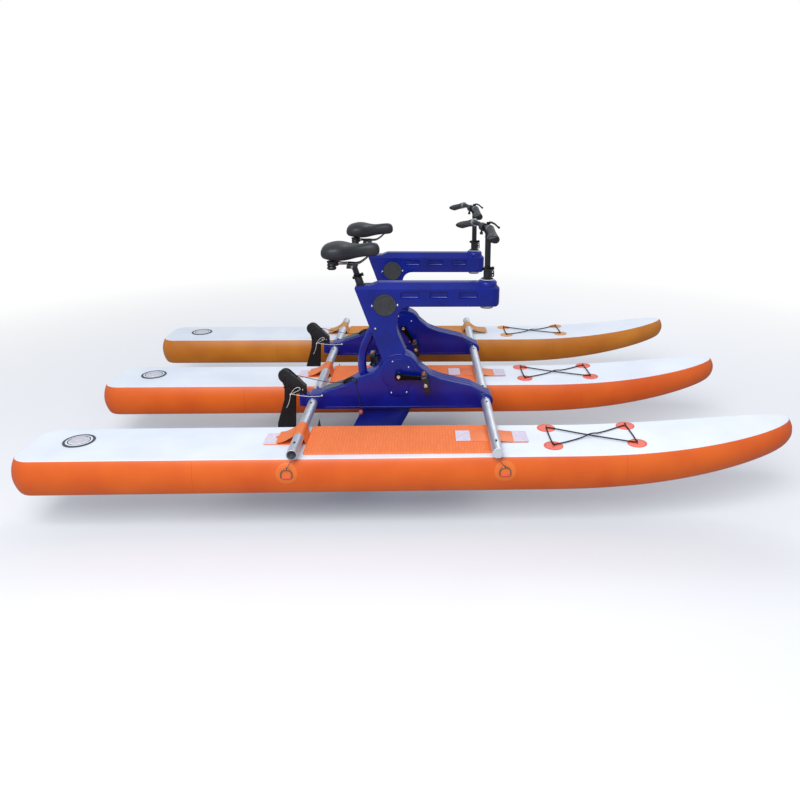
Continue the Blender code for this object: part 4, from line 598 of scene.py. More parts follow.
# Pedal frames: each is one rotomoulded shell of blue polyethylene with an arm, an upright and a
# base that ends in two bosses for the crossbars. Its rims are round from the mould, and the arm's
# shoulders are chamfered and run round its half-round front end.
half_frame, frame_rim = 0.050, 0.007
bar_z, rear_bar_x, front_bar_x = 0.1873, -0.496, 0.345
boss_round, spindle_bore, chamfer_run = 0.037, 0.0121, 0.342
crank_x, crank_z = -0.079, 0.328
arm_top, arm_shoulder, arm_bottom, arm_front, shoulder_in = 0.777, 0.748, 0.663, 0.402, 0.026
head_x, arm_end_x = 0.344, 0.352
seat_lean = math.radians(17)
seat_axis = Vector((-math.sin(seat_lean), 0, math.cos(seat_lean)))
seat_mouth = Vector((-0.2535, 0, 0.755))
crank_centre = Vector((crank_x, 0, crank_z))
shaft_down = Vector((-math.sin(math.radians(26)), 0, -math.cos(math.radians(26))))

# Polyethylene skin of the mould: glossy deep blue with slow waves and a fine orange peel
shell_blue = new_material("rotomoulded_polyethylene_blue", "001680", 0.24)
tree = shell_blue.node_tree
mottle(shell_blue, 120, "001274", "001c8c", 3.0)
place = add(tree, "ShaderNodeTexCoord")
waves = add(tree, "ShaderNodeTexNoise", {"Vector": place.outputs["Object"], "Scale": 1000 / 45,
                                         "Detail": 2.0})
peel = add(tree, "ShaderNodeTexNoise", {"Vector": place.outputs["Object"], "Scale": 1000 / 2.5,
                                        "Detail": 2.0})
faint = add(tree, "ShaderNodeMath", {0: peel.outputs["Fac"], 1: 0.08}, operation="MULTIPLY")
uneven = add(tree, "ShaderNodeMath", {0: waves.outputs["Fac"], 1: faint.outputs["Value"]}, operation="ADD")
relief(shell_blue, uneven.outputs["Value"], 1.2, 0.30)
tree.nodes["Principled BSDF"].inputs["IOR"].default_value = 1.51


def bow(centre, radius, start, end, count):
    """Points on an arc of a side view, angles in degrees."""
    turns = [math.radians(start + (end - start) * step / count) for step in range(count + 1)]
    return [(centre[0] + radius * math.cos(turn), centre[1] + radius * math.sin(turn)) for turn in turns]


def soft_corners(corners, steps=8):
    """Closed outline through corners given as (x, z, fillet radius)."""
    points = []
    for index, (x, z, radius) in enumerate(corners):
        here = Vector((x, z))
        if radius <= 0:
            points.append((x, z))
            continue
        back = Vector(corners[index - 1][:2]) - here
        forth = Vector(corners[(index + 1) % len(corners)][:2]) - here
        reach = min(radius / math.tan(back.angle(forth) / 2), 0.48 * back.length, 0.48 * forth.length)
        first, last = here + back.normalized() * reach, here + forth.normalized() * reach
        for step in range(steps + 1):
            t = step / steps
            spot = first * (1 - t) ** 2 + here * (2 * t * (1 - t)) + last * t ** 2
            points.append((spot.x, spot.y))
    return points


def moulded_plate(name, outline, low, high, rim, paint, axis="Y"):
    """A flat outline given thickness between two places on an axis, its rims rounded."""
    if sum(a[0] * b[1] - b[0] * a[1] for a, b in zip(outline, outline[1:] + outline[:1])) < 0:
        outline = outline[::-1]
    deselect()
    bpy.ops.curve.primitive_bezier_circle_add()
    plate = bpy.context.object
    plate.name = name
    shape = plate.data
    shape.dimensions = "2D"
    shape.splines.clear()
    run = shape.splines.new("POLY")
    run.points.add(len(outline) - 1)
    for knot, (a, b) in zip(run.points, outline):
        knot.co = (a, b, 0, 1)
    run.use_cyclic_u = True
    shape.fill_mode = "BOTH"
    shape.extrude = (high - low) / 2 - rim
    shape.bevel_depth, shape.bevel_resolution, shape.offset = rim, 4, -rim
    bpy.ops.object.convert(target="MESH")
    middle = (low + high) / 2
    if axis == "Y":
        plate.rotation_euler = (math.pi / 2, 0, 0)
        plate.location = (0, middle, 0)
    else:
        plate.location = (0, 0, middle)
    place_in_mesh(plate)
    tidy_mesh(plate)
    plate.data.materials.append(paint)
    return plate


def turned_piece(name, profile, start, direction, paint, steps=48):
    """A profile of (radius, height) spun about an axis through start."""
    deselect()
    bpy.ops.mesh.primitive_plane_add(size=1)
    piece = bpy.context.object
    piece.name = name
    mesh = bmesh.new()
    corners = [mesh.verts.new((radius, 0, height)) for radius, height in profile]
    # Only the profile's line is spun, so no wall is left inside
    for one, two in zip(corners, corners[1:]):
        mesh.edges.new((one, two))
    if profile[0][0] > 0 or profile[-1][0] > 0:
        mesh.edges.new((corners[-1], corners[0]))
    mesh.to_mesh(piece.data)
    mesh.free()
    bpy.ops.object.mode_set(mode="EDIT")
    bpy.ops.mesh.select_mode(type="VERT")
    bpy.ops.mesh.select_all(action="SELECT")
    bpy.ops.mesh.spin(steps=steps, angle=math.tau, center=(0, 0, 0), axis=(0, 0, 1))
    bpy.ops.mesh.select_all(action="SELECT")
    bpy.ops.mesh.remove_doubles(threshold=3e-6)
    bpy.ops.object.mode_set(mode="OBJECT")
    facing = Vector(direction).to_track_quat("Z", "X").to_matrix().to_4x4()
    piece.matrix_world = Matrix.Translation(start) @ facing
    place_in_mesh(piece)
    tidy_mesh(piece, 1e-6)
    smooth(35)
    piece.data.materials.append(paint)
    return piece


def round_bar(name, start, end, radius, paint, end_radius=None, rim=0.0, steps=32):
    """Round bar between two points, its edges eased."""
    start, end = Vector(start), Vector(end)
    length = (end - start).length
    last = radius if end_radius is None else end_radius
    profile = [(0, 0), (radius - rim, 0), (radius, rim), (last, length - rim), (last - rim, length),
               (0, length)]
    if not rim:
        profile = [(0, 0), (radius, 0), (last, length), (0, length)]
    return turned_piece(name, profile, start, end - start, paint, steps)


def boolean(body, operation, *tools):
    """Cut tools from a body or unite them with it; the tools are used up."""
    for tool in tools:
        activate(body)
        change = body.modifiers.new("change", "BOOLEAN")
        change.operation, change.solver, change.object = operation, "EXACT", tool
        bpy.ops.object.modifier_apply(modifier="change")
        bpy.data.objects.remove(tool, do_unlink=True)
    return body


def twin(piece, name, shift):
    """A copy with its own mesh, moved by shift."""
    activate(piece)
    bpy.ops.object.duplicate(linked=False)
    made = bpy.context.object
    made.name = name
    made.location = Vector(made.location) + Vector(shift)
    place_in_mesh(made)
    return made


def frame_outline():
    """Side view of the shell, from the front boss over the crank and the arm to the rear boss."""
    points = bow((front_bar_x, bar_z), boss_round, -90, 78, 20)
    points += soft_corners([(front_bar_x - 0.010, bar_z + 0.050, 0.02), (0.268, 0.268, 0.06),
                            (0.128, 0.303, 0.12), (0.048, 0.336, 0.06)])[9:-5]
    points += bow((crank_x, crank_z), 0.106, 24, 76, 16)
    corners = [(0.0, 0.40, 0.0), (-0.045, 0.445, 0.015), (-0.088, 0.545, 0.12), (-0.075, arm_bottom, 0.095),
               (arm_front, arm_bottom, 0.020), (arm_front + 0.002, arm_top, 0.014),
               (-0.170, arm_top, 0.030), (-0.203, 0.763, 0.010), (-0.284, 0.760, 0.012),
               (-0.154, 0.392, 0.030), (-0.192, 0.349, 0.030), (-0.272, 0.316, 0.050),
               (-0.339, 0.277, 0.060), (-0.455, 0.238, 0.040), (rear_bar_x, bar_z, 0.0)]
    points += soft_corners(corners)[1:-1]
    points += bow((rear_bar_x, bar_z), boss_round, 100, 270, 20)
    return points


def swept_bar(name, points, radius, paint, flatten=1.0, closed=False):
    """Round bar along a smooth path, as a mesh; flatten scales it across, in Y."""
    bar = cord_curve(name, points, radius, paint, closed)
    bpy.ops.object.convert(target="MESH")
    middle = points[0][1]
    if flatten != 1.0:
        bar.data.transform(Matrix.Translation((0, middle, 0)) @ Matrix.Diagonal((1, flatten, 1, 1))
                           @ Matrix.Translation((0, -middle, 0)))
    tidy_mesh(bar, 1e-6)
    bpy.ops.object.shade_smooth()
    return bar


def cover_shape(margin, steps=40):
    """Outline of the gearbox cover: a disc with a lug below it."""
    radius, lug = 0.078 + margin, 0.047 + margin
    start = -math.degrees(math.acos(lug / radius))
    bottom = crank_z - 0.112 - margin
    points = bow((crank_x, crank_z), radius, start, 180 - start, steps)
    points += soft_corners([(crank_x - lug, crank_z - 0.04, 0), (crank_x - lug, bottom, 0.020),
                            (crank_x + lug, bottom, 0.020), (crank_x + lug, crank_z - 0.04, 0)])[1:-1]
    return points


def frame_shell(name):
    """The blue shell about y = 0."""
    shell = moulded_plate(name, frame_outline(), -half_frame, half_frame, frame_rim, shell_blue)
    # Half-round front end, then the shoulders' chamfers
    end = bow((arm_end_x, 0), 1.0, -90, 90, 32)
    long, wide = arm_front + 0.002 - arm_end_x, half_frame + 0.0002
    end = [(arm_end_x + (x - arm_end_x) * long, y * wide) for x, y in end]
    corner_cut = moulded_plate("cutter", end + [(arm_end_x, 0.08), (0.44, 0.08), (0.44, -0.08),
                                                (arm_end_x, -0.08)], 0.60, 0.82, 0.0, shell_blue, "Z")
    boolean(shell, "DIFFERENCE", corner_cut)
    fall = math.atan2(arm_top - arm_shoulder, shoulder_in)
    for side in (-1, 1):
        deselect()
        bpy.ops.mesh.primitive_cube_add(size=1)
        wedge = bpy.context.object
        wedge.scale = (chamfer_run + arm_end_x, 0.12, 0.04)
        wedge.rotation_euler = (-side * fall, 0, 0)
        edge = Vector((0, side * (half_frame - shoulder_in / 2), (arm_top + arm_shoulder) / 2))
        out = Vector((0, side * math.sin(fall), math.cos(fall)))
        wedge.location = edge + out * 0.02 + Vector(((arm_end_x - chamfer_run) / 2, 0, 0))
        place_in_mesh(wedge)
        boolean(shell, "DIFFERENCE", wedge)
    near = half_frame - shoulder_in
    drop = (arm_top - arm_shoulder) / shoulder_in
    cone = turned_piece("cutter", [(near, arm_top), (near + 0.05, arm_top - 0.05 * drop),
                                   (near + 0.05, arm_top + 0.03), (near, arm_top + 0.03)],
                        (arm_end_x, 0, 0), (0, 0, 1), shell_blue, 64)
    # Only the ring's front half cuts
    behind = [(arm_end_x - 0.15, -0.15), (arm_end_x, -0.15), (arm_end_x, 0.15), (arm_end_x - 0.15, 0.15)]
    boolean(cone, "DIFFERENCE", moulded_plate("cutter", behind, 0.60, 0.90, 0.0, shell_blue, "Z"))
    boolean(shell, "DIFFERENCE", cone)
    # Strut between the upright's back and the base, rudder stub, bosses and head boss
    line = [(-0.185, 0, 0.580), (-0.222, 0, 0.505), (-0.246, 0, 0.452), (-0.257, 0, 0.400),
            (-0.257, 0, 0.350), (-0.250, 0, 0.290)]
    strut = swept_bar("strut", line, 0.0210, shell_blue, 1.12)
    outline = soft_corners([(-0.480, -0.026, 0), (-0.548, -0.026, 0), (-0.568, -0.018, 0.014),
                            (-0.568, 0.018, 0.014), (-0.548, 0.026, 0), (-0.480, 0.026, 0)])
    stub = moulded_plate("stub", outline, 0.1563, 0.214, 0.003, shell_blue, "Z")
    tools = [strut, stub]
    for x in (rear_bar_x, front_bar_x):
        tools.append(round_bar("boss", (x, -0.054, bar_z), (x, 0.054, bar_z), 0.033, shell_blue, rim=0.002,
                               steps=40))
    head = [(0, 0), (0.046, 0), (0.046, 0.028), (0.0445, 0.0305), (0.034, 0.0395), (0.032, 0.040),
            (0, 0.040)]
    tools.append(turned_piece("head", head, (head_x, 0, arm_top - 0.030), (0, 0, 1), shell_blue, 48))
    boolean(shell, "UNION", *tools)
    # Bores for the crossbars, the steerer and the seat post
    cutters = []
    for x in (rear_bar_x, front_bar_x):
        cutters.append(round_bar("cutter", (x, -0.08, bar_z), (x, 0.08, bar_z), 0.0230, shell_blue,
                                 steps=40))
    cutters.append(round_bar("cutter", (head_x, 0, 0.65), (head_x, 0, 0.80), 0.0195, shell_blue, steps=40))
    low, high = seat_mouth - seat_axis * 0.26, seat_mouth + seat_axis * 0.08
    cutters.append(round_bar("cutter", low, high, 0.0141, shell_blue))
    # Six pockets in the arm, the hatch's seat, and the cover's seat round the crank
    for side in (-1, 1):
        for middle in (-0.022, 0.114, 0.253):
            cutters.append(eased_block((0.087, 0.024, 0.032), (middle, side * half_frame, 0.720), 0.007, 5,
                                       shell_blue))
    cutters.append(round_bar("cutter", (-0.140, -0.06, 0.672), (-0.140, -0.045, 0.672), 0.0548, shell_blue,
                             steps=64))
    cutters.append(moulded_plate("cutter", cover_shape(0.0016), -0.06, -0.0465, 0.0, shell_blue))
    # Gear chamber, spindle bore and the drive shaft's bore
    cutters.append(round_bar("cutter", (crank_x, -0.05, crank_z), (crank_x, 0.034, crank_z), 0.052,
                             shell_blue, steps=40))
    cutters.append(round_bar("cutter", (crank_x, -0.05, crank_z), (crank_x, 0.06, crank_z), spindle_bore,
                             shell_blue))
    cutters.append(round_bar("cutter", crank_centre + shaft_down * 0.040, crank_centre + shaft_down * 0.300,
                             0.0106, shell_blue))
    # Three drain channels along the front slope
    slope = ((0.300, 0.2590), (0.268, 0.2692), (0.200, 0.2868), (0.128, 0.3053), (0.085, 0.3235))
    for across in (-0.022, 0.006, 0.032):
        channel = [(x, across, z) for x, z in slope]
        cutters.append(swept_bar("cutter", channel, 0.0042, shell_blue))
    boolean(shell, "DIFFERENCE", *cutters)
    tidy_mesh(shell, 5e-6)
    smooth(32)
    return shell


first_shell = frame_shell("starboard_frame_shell")
# Moulded ridges: round each boss, over the crank's hump, and a skirt line along the foot
ridges = []
for side in (-1, 1):
    face = side * (half_frame - 0.0006)
    for x, start, end in ((rear_bar_x, -20, 85), (front_bar_x, 95, 200)):
        around = [(px, face, pz) for px, pz in bow((x, bar_z), 0.0405, start, end, 16)]
        ridges.append(swept_bar("ridge", around, 0.0024, shell_blue))
    over = [(px, face, pz) for px, pz in bow((crank_x, crank_z), 0.1015, 20, 158, 18)]
    ridges.append(swept_bar("ridge", over, 0.0028, shell_blue))
    foot = [(rear_bar_x + 0.050 + (front_bar_x - rear_bar_x - 0.10) * step / 10, face, 0.1625)
            for step in range(11)]
    ridges.append(swept_bar("ridge", foot, 0.0018, shell_blue))
first_shell = join_all("starboard_frame_shell", first_shell, *ridges)
first_shell.data.materials.clear()
first_shell.data.materials.append(shell_blue)
second_shell = twin(first_shell, "port_frame_shell", (0, sides["port"], 0))
first_shell.location = (0, sides["starboard"], 0)
settle(first_shell, "boat", "blue_polyethylene", "starboard_frame")
settle(second_shell, "boat", "blue_polyethylene", "port_frame")


# Deck pads: 7 mm EVA foam mats bonded to the decks between the crossbars, moulded with rows of
# small wavy bricks. The port hull's is of the amber batch.
def soft_rectangle(low_x, high_x, low_z, high_z, radius, steps=8):
    """Closed outline of a rectangle with rounded corners."""
    return soft_corners([(low_x, low_z, radius), (high_x, low_z, radius), (high_x, high_z, radius),
                         (low_x, high_z, radius)], steps)


def foam_mat(name, hex_colour, darker, groove):
    """Foam with bricks of 34 x 13 mm, drawn wavy, and a fine closed-cell grain; the grooves between the
    bricks are painted darker as painted shade.
    """
    made = new_material(name, hex_colour, 0.8)
    tree = made.node_tree
    shader = tree.nodes["Principled BSDF"]
    place = add(tree, "ShaderNodeTexCoord")
    drift = add(tree, "ShaderNodeTexNoise", {"Vector": place.outputs["Object"], "Scale": 1000 / 26,
                                             "Detail": 1.0})
    push = add(tree, "ShaderNodeVectorMath", {0: drift.outputs["Color"], "Scale": 0.012}, operation="SCALE")
    moved = add(tree, "ShaderNodeVectorMath", {0: place.outputs["Object"], 1: push.outputs["Vector"]},
                operation="ADD")
    turned = add(tree, "ShaderNodeMapping", {"Vector": moved.outputs["Vector"],
                                             "Rotation": (0, 0, math.pi / 2)})
    # The mortar colour darkens the grooves between the bricks: painted shade in the recesses
    bricks = add(tree, "ShaderNodeTexBrick", {"Vector": turned.outputs["Vector"], "Scale": 10.0,
                                              "Brick Width": 0.34, "Row Height": 0.13, "Mortar Size": 0.010,
                                              "Mortar Smooth": 0.5, "Color1": srgb(hex_colour),
                                              "Color2": srgb(darker), "Mortar": srgb(groove)})
    tree.links.new(bricks.outputs["Color"], shader.inputs["Base Color"])
    cells = add(tree, "ShaderNodeTexNoise", {"Vector": place.outputs["Object"], "Scale": 1000 / 3})
    grain = add(tree, "ShaderNodeMath", {0: cells.outputs["Fac"], 1: 0.15}, operation="MULTIPLY")
    height = add(tree, "ShaderNodeMath", {0: grain.outputs["Value"], 1: bricks.outputs["Fac"]},
                 operation="SUBTRACT")
    relief(made, height.outputs["Value"], 1.0, 0.5)
    return made


# Closed-cell foam: matt, a shade paler than the hulls' cloth. The last colour of each is painted shade in
# the grooves between the bricks
foam_orange = foam_mat("eva_foam_orange", "fb864a", "f77f43", "e66a33")
foam_amber = foam_mat("eva_foam_amber", "dc9243", "d68a3b", "c2752c")
pad_low, pad_high = hull_thickness + 0.0003, hull_thickness + 0.0073
pad_aft, pad_fore = rear_bar_x + 0.0320, front_bar_x - 0.012
pad_shift, pad_half = 0.012, 0.140
for side, hull_y in hulls.items():
    outline = soft_rectangle(pad_aft, pad_fore, hull_y + pad_shift - pad_half,
                             hull_y + pad_shift + pad_half, 0.012)
    foam = foam_amber if side == "port" else foam_orange
    pad = moulded_plate(side + "_deck_pad", outline, pad_low, pad_high, 0.0022, foam, "Z")
    smooth(40)
    settle(pad, "boat", "amber_foam" if side == "port" else "orange_foam")


# Bar straps: 2 mm strips of the hull's coated cloth that are folded over a crossbar and held by
# hook-and-loop tape. The rear ones are closed over the bar with a free flap behind it, the front
# ones lie open under the bar, apart from the port hull's, whose flap points forward.
bar_radius, cloth_gap, strap_width, tape_half = 0.0225, 0.0015, 0.115, 0.054
# The straps' cloth is cut from paler rolls of the hulls' cloth
strap_orange = coated_cloth("pvc_strap_orange", "f07426", "ea6c1e", "f57e32")
strap_amber = coated_cloth("pvc_strap_amber", "d2892c", "ca8024", "dc9436")
# Woven tape: matt lilac, rough with loops 1.6 mm apart
hook_tape = new_material("hook_and_loop_tape_lilac", "ddd2e2", 0.9)
tree = hook_tape.node_tree
mottle(hook_tape, 9, "d3c6da", "e8dfeb")
place = add(tree, "ShaderNodeTexCoord")
loops = add(tree, "ShaderNodeTexVoronoi", {"Vector": place.outputs["Object"], "Scale": 1000 / 1.6})
relief(hook_tape, loops.outputs["Distance"], 0.5, 0.8)


def ribbon_outline(line, thickness):
    """Closed outline of a strip of even thickness along a side view's line."""
    left, right = [], []
    for index, point in enumerate(line):
        run = Vector(line[min(index + 1, len(line) - 1)]) - Vector(line[max(index - 1, 0)])
        across = Vector((-run.y, run.x)).normalized() * thickness / 2
        left.append(tuple(Vector(point) + across))
        right.append(tuple(Vector(point) - across))
    return left + right[::-1]


def eased_line(points, steps=6):
    """Smooth line through points of a side view."""
    points = [Vector(point) for point in points]
    ends = [points[0] * 2 - points[1]] + points + [points[-1] * 2 - points[-2]]
    line = []
    for index in range(len(points) - 1):
        a, b, c, d = ends[index:index + 4]
        for step in range(steps):
            t = step / steps
            line.append(tuple((b * 2 + (c - a) * t + (a * 2 - b * 5 + c * 4 - d) * t ** 2
                               + (b * 3 - a - c * 3 + d) * t ** 3) / 2))
    line.append(tuple(points[-1]))
    return line


def cloth_strip(name, line, middle, width, paint, thickness=0.0021, sag=0.0):
    """A strip of cloth along a side view's line, cut across its width; sag lifts its free corners."""
    strip = moulded_plate(name, ribbon_outline(line, thickness), middle - width / 2, middle + width / 2,
                          0.0005, paint)
    if sag:
        shares = (-0.42, -0.3, -0.15, 0, 0.15, 0.3, 0.42)
        cut_loops(strip, 1, [middle + width * share for share in shares])
        tip = Vector((line[-1][0], 0, line[-1][1]))
        for vert in strip.data.vertices:
            near_tip = max(0.0, 1 - (Vector((vert.co.x, 0, vert.co.z)) - tip).length / 0.05)
            across = (vert.co.y - middle) / width
            vert.co.z += sag * near_tip ** 1.5 * (math.sin(across * 5.5 + 0.8) + 1) / 2
    activate(strip)
    smooth(50)
    return strip


def beside(x, z, *offsets):
    """Places of a side view, each given from one spot."""
    return [(x + along, z + up) for along, up in offsets]


def tape_patch(name, low_x, high_x, middle, low, high):
    """A rectangle of hook-and-loop tape, its corners nipped."""
    outline = soft_rectangle(low_x, high_x, middle - tape_half, middle + tape_half, 0.003, 3)
    tape = moulded_plate(name, outline, low, high, 0.0006, hook_tape, "Z")
    smooth(50)
    return tape


bar_clear = bar_radius + cloth_gap
deck_top = hull_thickness + 0.0003
for side, hull_y in hulls.items():
    paint = strap_amber if side == "port" else strap_orange
    middle = hull_y + deck_shift
    wrap = beside(rear_bar_x, deck_top, (-0.150, 0.0012), (-0.05, 0.0012), (0.0205, 0.0012),
                  (0.0285, 0.0030), (0.0295, 0.0075), (0.0235, 0.0160))
    wrap = eased_line(wrap, 5)[:-1] + bow((rear_bar_x, bar_z), bar_clear, 28, 148, 16)
    flap = beside(rear_bar_x, bar_z, (-0.030, 0.0035), (-0.052, -0.0095), (-0.075, -0.0195),
                  (-0.098, -0.0235))
    strap = cloth_strip(side + "_rear_strap", wrap + eased_line(flap, 5), middle, strap_width, paint,
                        sag=0.002)
    tape = tape_patch("tape", rear_bar_x - 0.156, rear_bar_x - 0.090, middle, deck_top + 0.0021,
                      deck_top + 0.0034)
    strap = join_all(side + "_rear_strap", strap, tape)
    settle(strap, "boat", cloth_slots[side], "rear_strap_" + side)
    top = pad_high + 0.0011
    if side == "port":
        wrap = beside(front_bar_x, top, (0.020, 0), (-0.010, 0), (-0.0305, 0), (-0.0365, 0.003),
                      (-0.0345, 0.012))
        wrap = eased_line(wrap, 5)[:-1] + bow((front_bar_x, bar_z), bar_clear, 150, 32, 16)
        flap = beside(front_bar_x, bar_z, (0.030, 0.0030), (0.055, -0.0110), (0.082, -0.0175),
                      (0.126, -0.0205))
        strap = cloth_strip(side + "_front_strap", wrap + eased_line(flap, 5), middle, strap_width, paint,
                            sag=0.002)
    else:
        lay = beside(front_bar_x, top, (-0.163, 0), (-0.08, 0), (-0.02, 0), (0.03, 0), (0.060, -0.0035),
                     (0.090, -0.0056), (0.150, -0.0056))
        strap = cloth_strip("strap", eased_line(lay), middle, strap_width, paint)
        near = tape_patch("tape", front_bar_x - 0.164, front_bar_x - 0.100, middle, top + 0.0009,
                          top + 0.0022)
        far = tape_patch("tape", front_bar_x + 0.090, front_bar_x + 0.154, middle, top - 0.0048,
                         top - 0.0034)
        strap = join_all(side + "_front_strap", strap, near, far)
    settle(strap, "boat", cloth_slots[side])
    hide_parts("deck_pad_" + side)


# D-rings: a coated-cloth patch welded to the outer wall, a stainless D held by a webbing fold at
# its foot, and a wire hook from the ring into the crossbar's end.

# Drawn stainless wire: smooth, with a soft shine
wire_steel = plain("stainless_wire", "8c8a86", 0.28, 3, "7c7a76", "9c9a97", 0.05, 0.3, metallic=1.0)


def wall_reach(z):
    """How far out the side wall stands at a height."""
    share = min(max(z / hull_thickness, 0.001), 0.999)
    return deck_half + wall_bulge * math.sin(math.pi * share) ** 0.75


def wall_patch(name, x, height, hull_y, out, radius, paint):
    """Round patch that follows the wall's bulge."""
    deselect()
    bpy.ops.mesh.primitive_cylinder_add(vertices=48, radius=radius, depth=0.0016, end_fill_type="NGON")
    patch = bpy.context.object
    patch.name = name
    bpy.ops.object.mode_set(mode="EDIT")
    bpy.ops.mesh.select_mode(type="FACE")
    mesh = bmesh.from_edit_mesh(patch.data)
    for face in mesh.faces:
        face.select_set(abs(face.normal.z) > 0.9)
    bmesh.update_edit_mesh(patch.data)
    for inset in (0.0015, 0.007, 0.007, 0.008, 0.008, 0.006):
        bpy.ops.mesh.inset(thickness=inset * radius / 0.045, depth=0)
    bpy.ops.object.mode_set(mode="OBJECT")
    for vert in patch.data.vertices:
        a, b, c = vert.co
        thin = 0.0004 if math.hypot(a, b) > radius * 0.98 else 0.0
        rise = wall_reach(height + b) + 0.0006 + c - math.copysign(thin, c) * (c > 0)
        vert.co = (x + a, hull_y + out * rise, height + b)
    tidy_mesh(patch, 1e-6)
    smooth(40)
    patch.data.materials.append(paint)
    return patch


ring_height, bar_end = hull_thickness * 0.62, 1.055
for side, out in (("starboard", -1), ("port", 1)):
    hull_y = hulls[side]
    for label, x, bar_x in (("rear", rear_bar_x - 0.028, rear_bar_x),
                            ("front", front_bar_x + 0.034, front_bar_x)):
        patch = wall_patch("patch", x, ring_height, hull_y, out, 0.045,
                           strap_amber if side == "port" else strap_orange)
        face = hull_y + out * (wall_reach(ring_height) + 0.0046)
        ring_path = [(px, face, pz) for px, pz in bow((x, ring_height), 0.0225, 8, 172, 12)]
        ring_path += [(px, face, pz) for px, pz in beside(x, ring_height, (-0.0222, -0.013),
                                                          (-0.0195, -0.0160), (0, -0.0163),
                                                          (0.0195, -0.0160), (0.0222, -0.013))]
        ring = cord_curve("ring", ring_path, 0.0022, wire_steel, True)
        bpy.ops.object.convert(target="MESH")
        fold = eased_block((0.0345, 0.0085, 0.0105), (x, face - out * 0.0012, ring_height - 0.0165), 0.003,
                           4, strap_amber if side == "port" else patch_coral)
        smooth(40)
        crest = ring_height + 0.0225
        tube_end = out * bar_end
        hook_path = [(bar_x, tube_end - out * 0.020, bar_z - 0.0165),
                     (bar_x, tube_end + out * 0.001, bar_z - 0.0175),
                     (bar_x + (x - bar_x) * 0.15, tube_end + out * 0.0035, bar_z - 0.026),
                     (bar_x + (x - bar_x) * 0.6, (tube_end + face) / 2 + out * 0.004, bar_z - 0.050),
                     (x - (x - bar_x) * 0.10, face + out * 0.0042, crest + 0.005),
                     (x, face + out * 0.0040, crest - 0.003), (x, face, crest - 0.0055),
                     (x, face - out * 0.0038, crest - 0.002), (x, face - out * 0.0030, crest + 0.006)]
        hook = cord_curve("hook", hook_path, 0.0014, wire_steel)
        bpy.ops.object.convert(target="MESH")
        made = join_all(side + "_" + label + "_d_ring", ring, patch, fold, hook)
        settle(made, "boat", "brushed_steel")


# Crossbars: 45 x 3 mm aluminium tube, clear anodised, in three sections that meet inside the
# frames' bosses. Each has slots for the straps' hooks and sprung snap pins beside the bosses.

# Anodised aluminium: pale metal, dulled by its oxide skin
aluminium = new_material("anodised_aluminium", "dfe2e8", 0.52, 1.0)
tree = aluminium.node_tree
mottle(aluminium, 90, "d8dbe2", "e6e8ee", 2.0)
place = add(tree, "ShaderNodeTexCoord")
drawn = add(tree, "ShaderNodeMapping", {"Vector": place.outputs["Object"], "Scale": (1.0, 0.02, 1.0)})
# Drawing lines along the tube, really under 0.1 mm wide, drawn at 1 mm
lines = add(tree, "ShaderNodeTexNoise", {"Vector": drawn.outputs["Vector"], "Scale": 1000.0, "Detail": 3.0})
relief(aluminium, lines.outputs["Fac"], 0.05, 0.35)
# Ground stainless: bright, with small highlights
pin_steel = plain("stainless_snap_pin", "e6e7e9", 0.2, 3, "dcdddf", "eeeff0", 0.03, 0.2, metallic=1.0)
# Moulded cap: pale grey, and dull beside the metal
end_cap = plain("moulded_end_cap_grey", "cfd4dc", 0.45, 12, "c6cbd4", "d8dce3", 0.15)
tube_outer, tube_inner, half_span = bar_radius, 0.0195, 0.4300
crossbar_tubes = (("starboard", -bar_end, -half_span - 0.0003, (-0.539, -0.980), (-0.497,)),
                  ("centre", -half_span + 0.0003, half_span - 0.0003, (-0.321, 0.321), (-0.363, 0.363)),
                  ("port", half_span + 0.0003, bar_end, (0.539, 0.980), (0.497,)))
for label, x in (("rear", rear_bar_x), ("front", front_bar_x)):
    for side, low, high, slots, pins in crossbar_tubes:
        length = high - low
        profile = [(tube_inner, 0), (tube_outer - 0.0008, 0), (tube_outer, 0.0008),
                   (tube_outer, length - 0.0008), (tube_outer - 0.0008, length), (tube_inner, length)]
        bar = turned_piece("crossbar_%s_%s_tube" % (label, side), profile, (x, low, bar_z), (0, 1, 0),
                           aluminium, 56)
        cutters = []
        for y in slots:
            spans = soft_rectangle(x - 0.0042, x + 0.0042, y - 0.011, y + 0.011, 0.0042, 4)
            cutters.append(moulded_plate("cutter", spans, bar_z + 0.005, bar_z + 0.030, 0.0, aluminium,
                                         "Z"))
        boolean(bar, "DIFFERENCE", *cutters)
        activate(bar)
        smooth(35)
        pieces = [bar]
        for y in pins:
            pin = [(0, 0), (0.0048, 0), (0.0048, 0.0062), (0.0040, 0.0078), (0.0022, 0.0086), (0, 0.0088)]
            pieces.append(turned_piece("pin", pin, (x, y, bar_z + tube_outer - 0.0022), (0, 0, 1),
                                       pin_steel, 24))
            rim = [(0.0049, 0), (0.0066, 0), (0.0066, 0.0010), (0.0060, 0.0015), (0.0049, 0.0015)]
            pieces.append(turned_piece("rim", rim, (x, y, bar_z + tube_outer - 0.0009), (0, 0, 1),
                                       pin_steel, 24))
        if label == "front" and side != "centre":
            out = -1 if side == "starboard" else 1
            cap = [(0, 0), (tube_inner - 0.0004, 0), (tube_inner - 0.0004, 0.014), (tube_outer, 0.014),
                   (tube_outer, 0.0160), (tube_outer - 0.0014, 0.0172), (0, 0.0176)]
            pieces.append(turned_piece("cap", cap, (x, out * (bar_end - 0.014), bar_z), (0, out, 0),
                                       end_cap, 48))
        made = join_all("crossbar_%s_%s_tube" % (label, side), *pieces)
        settle(made, "boat", "anodised_aluminium", "crossbar_%s_%s" % (label, side))


# What is screwed to the frames: gearbox covers of the shells' own polyethylene, round inspection
# hatches of dark rubber, stainless button screws, a strip of grip tape on the rear slope, a
# black nylon fairlead for the lift cord and the seat tube's black sleeve.

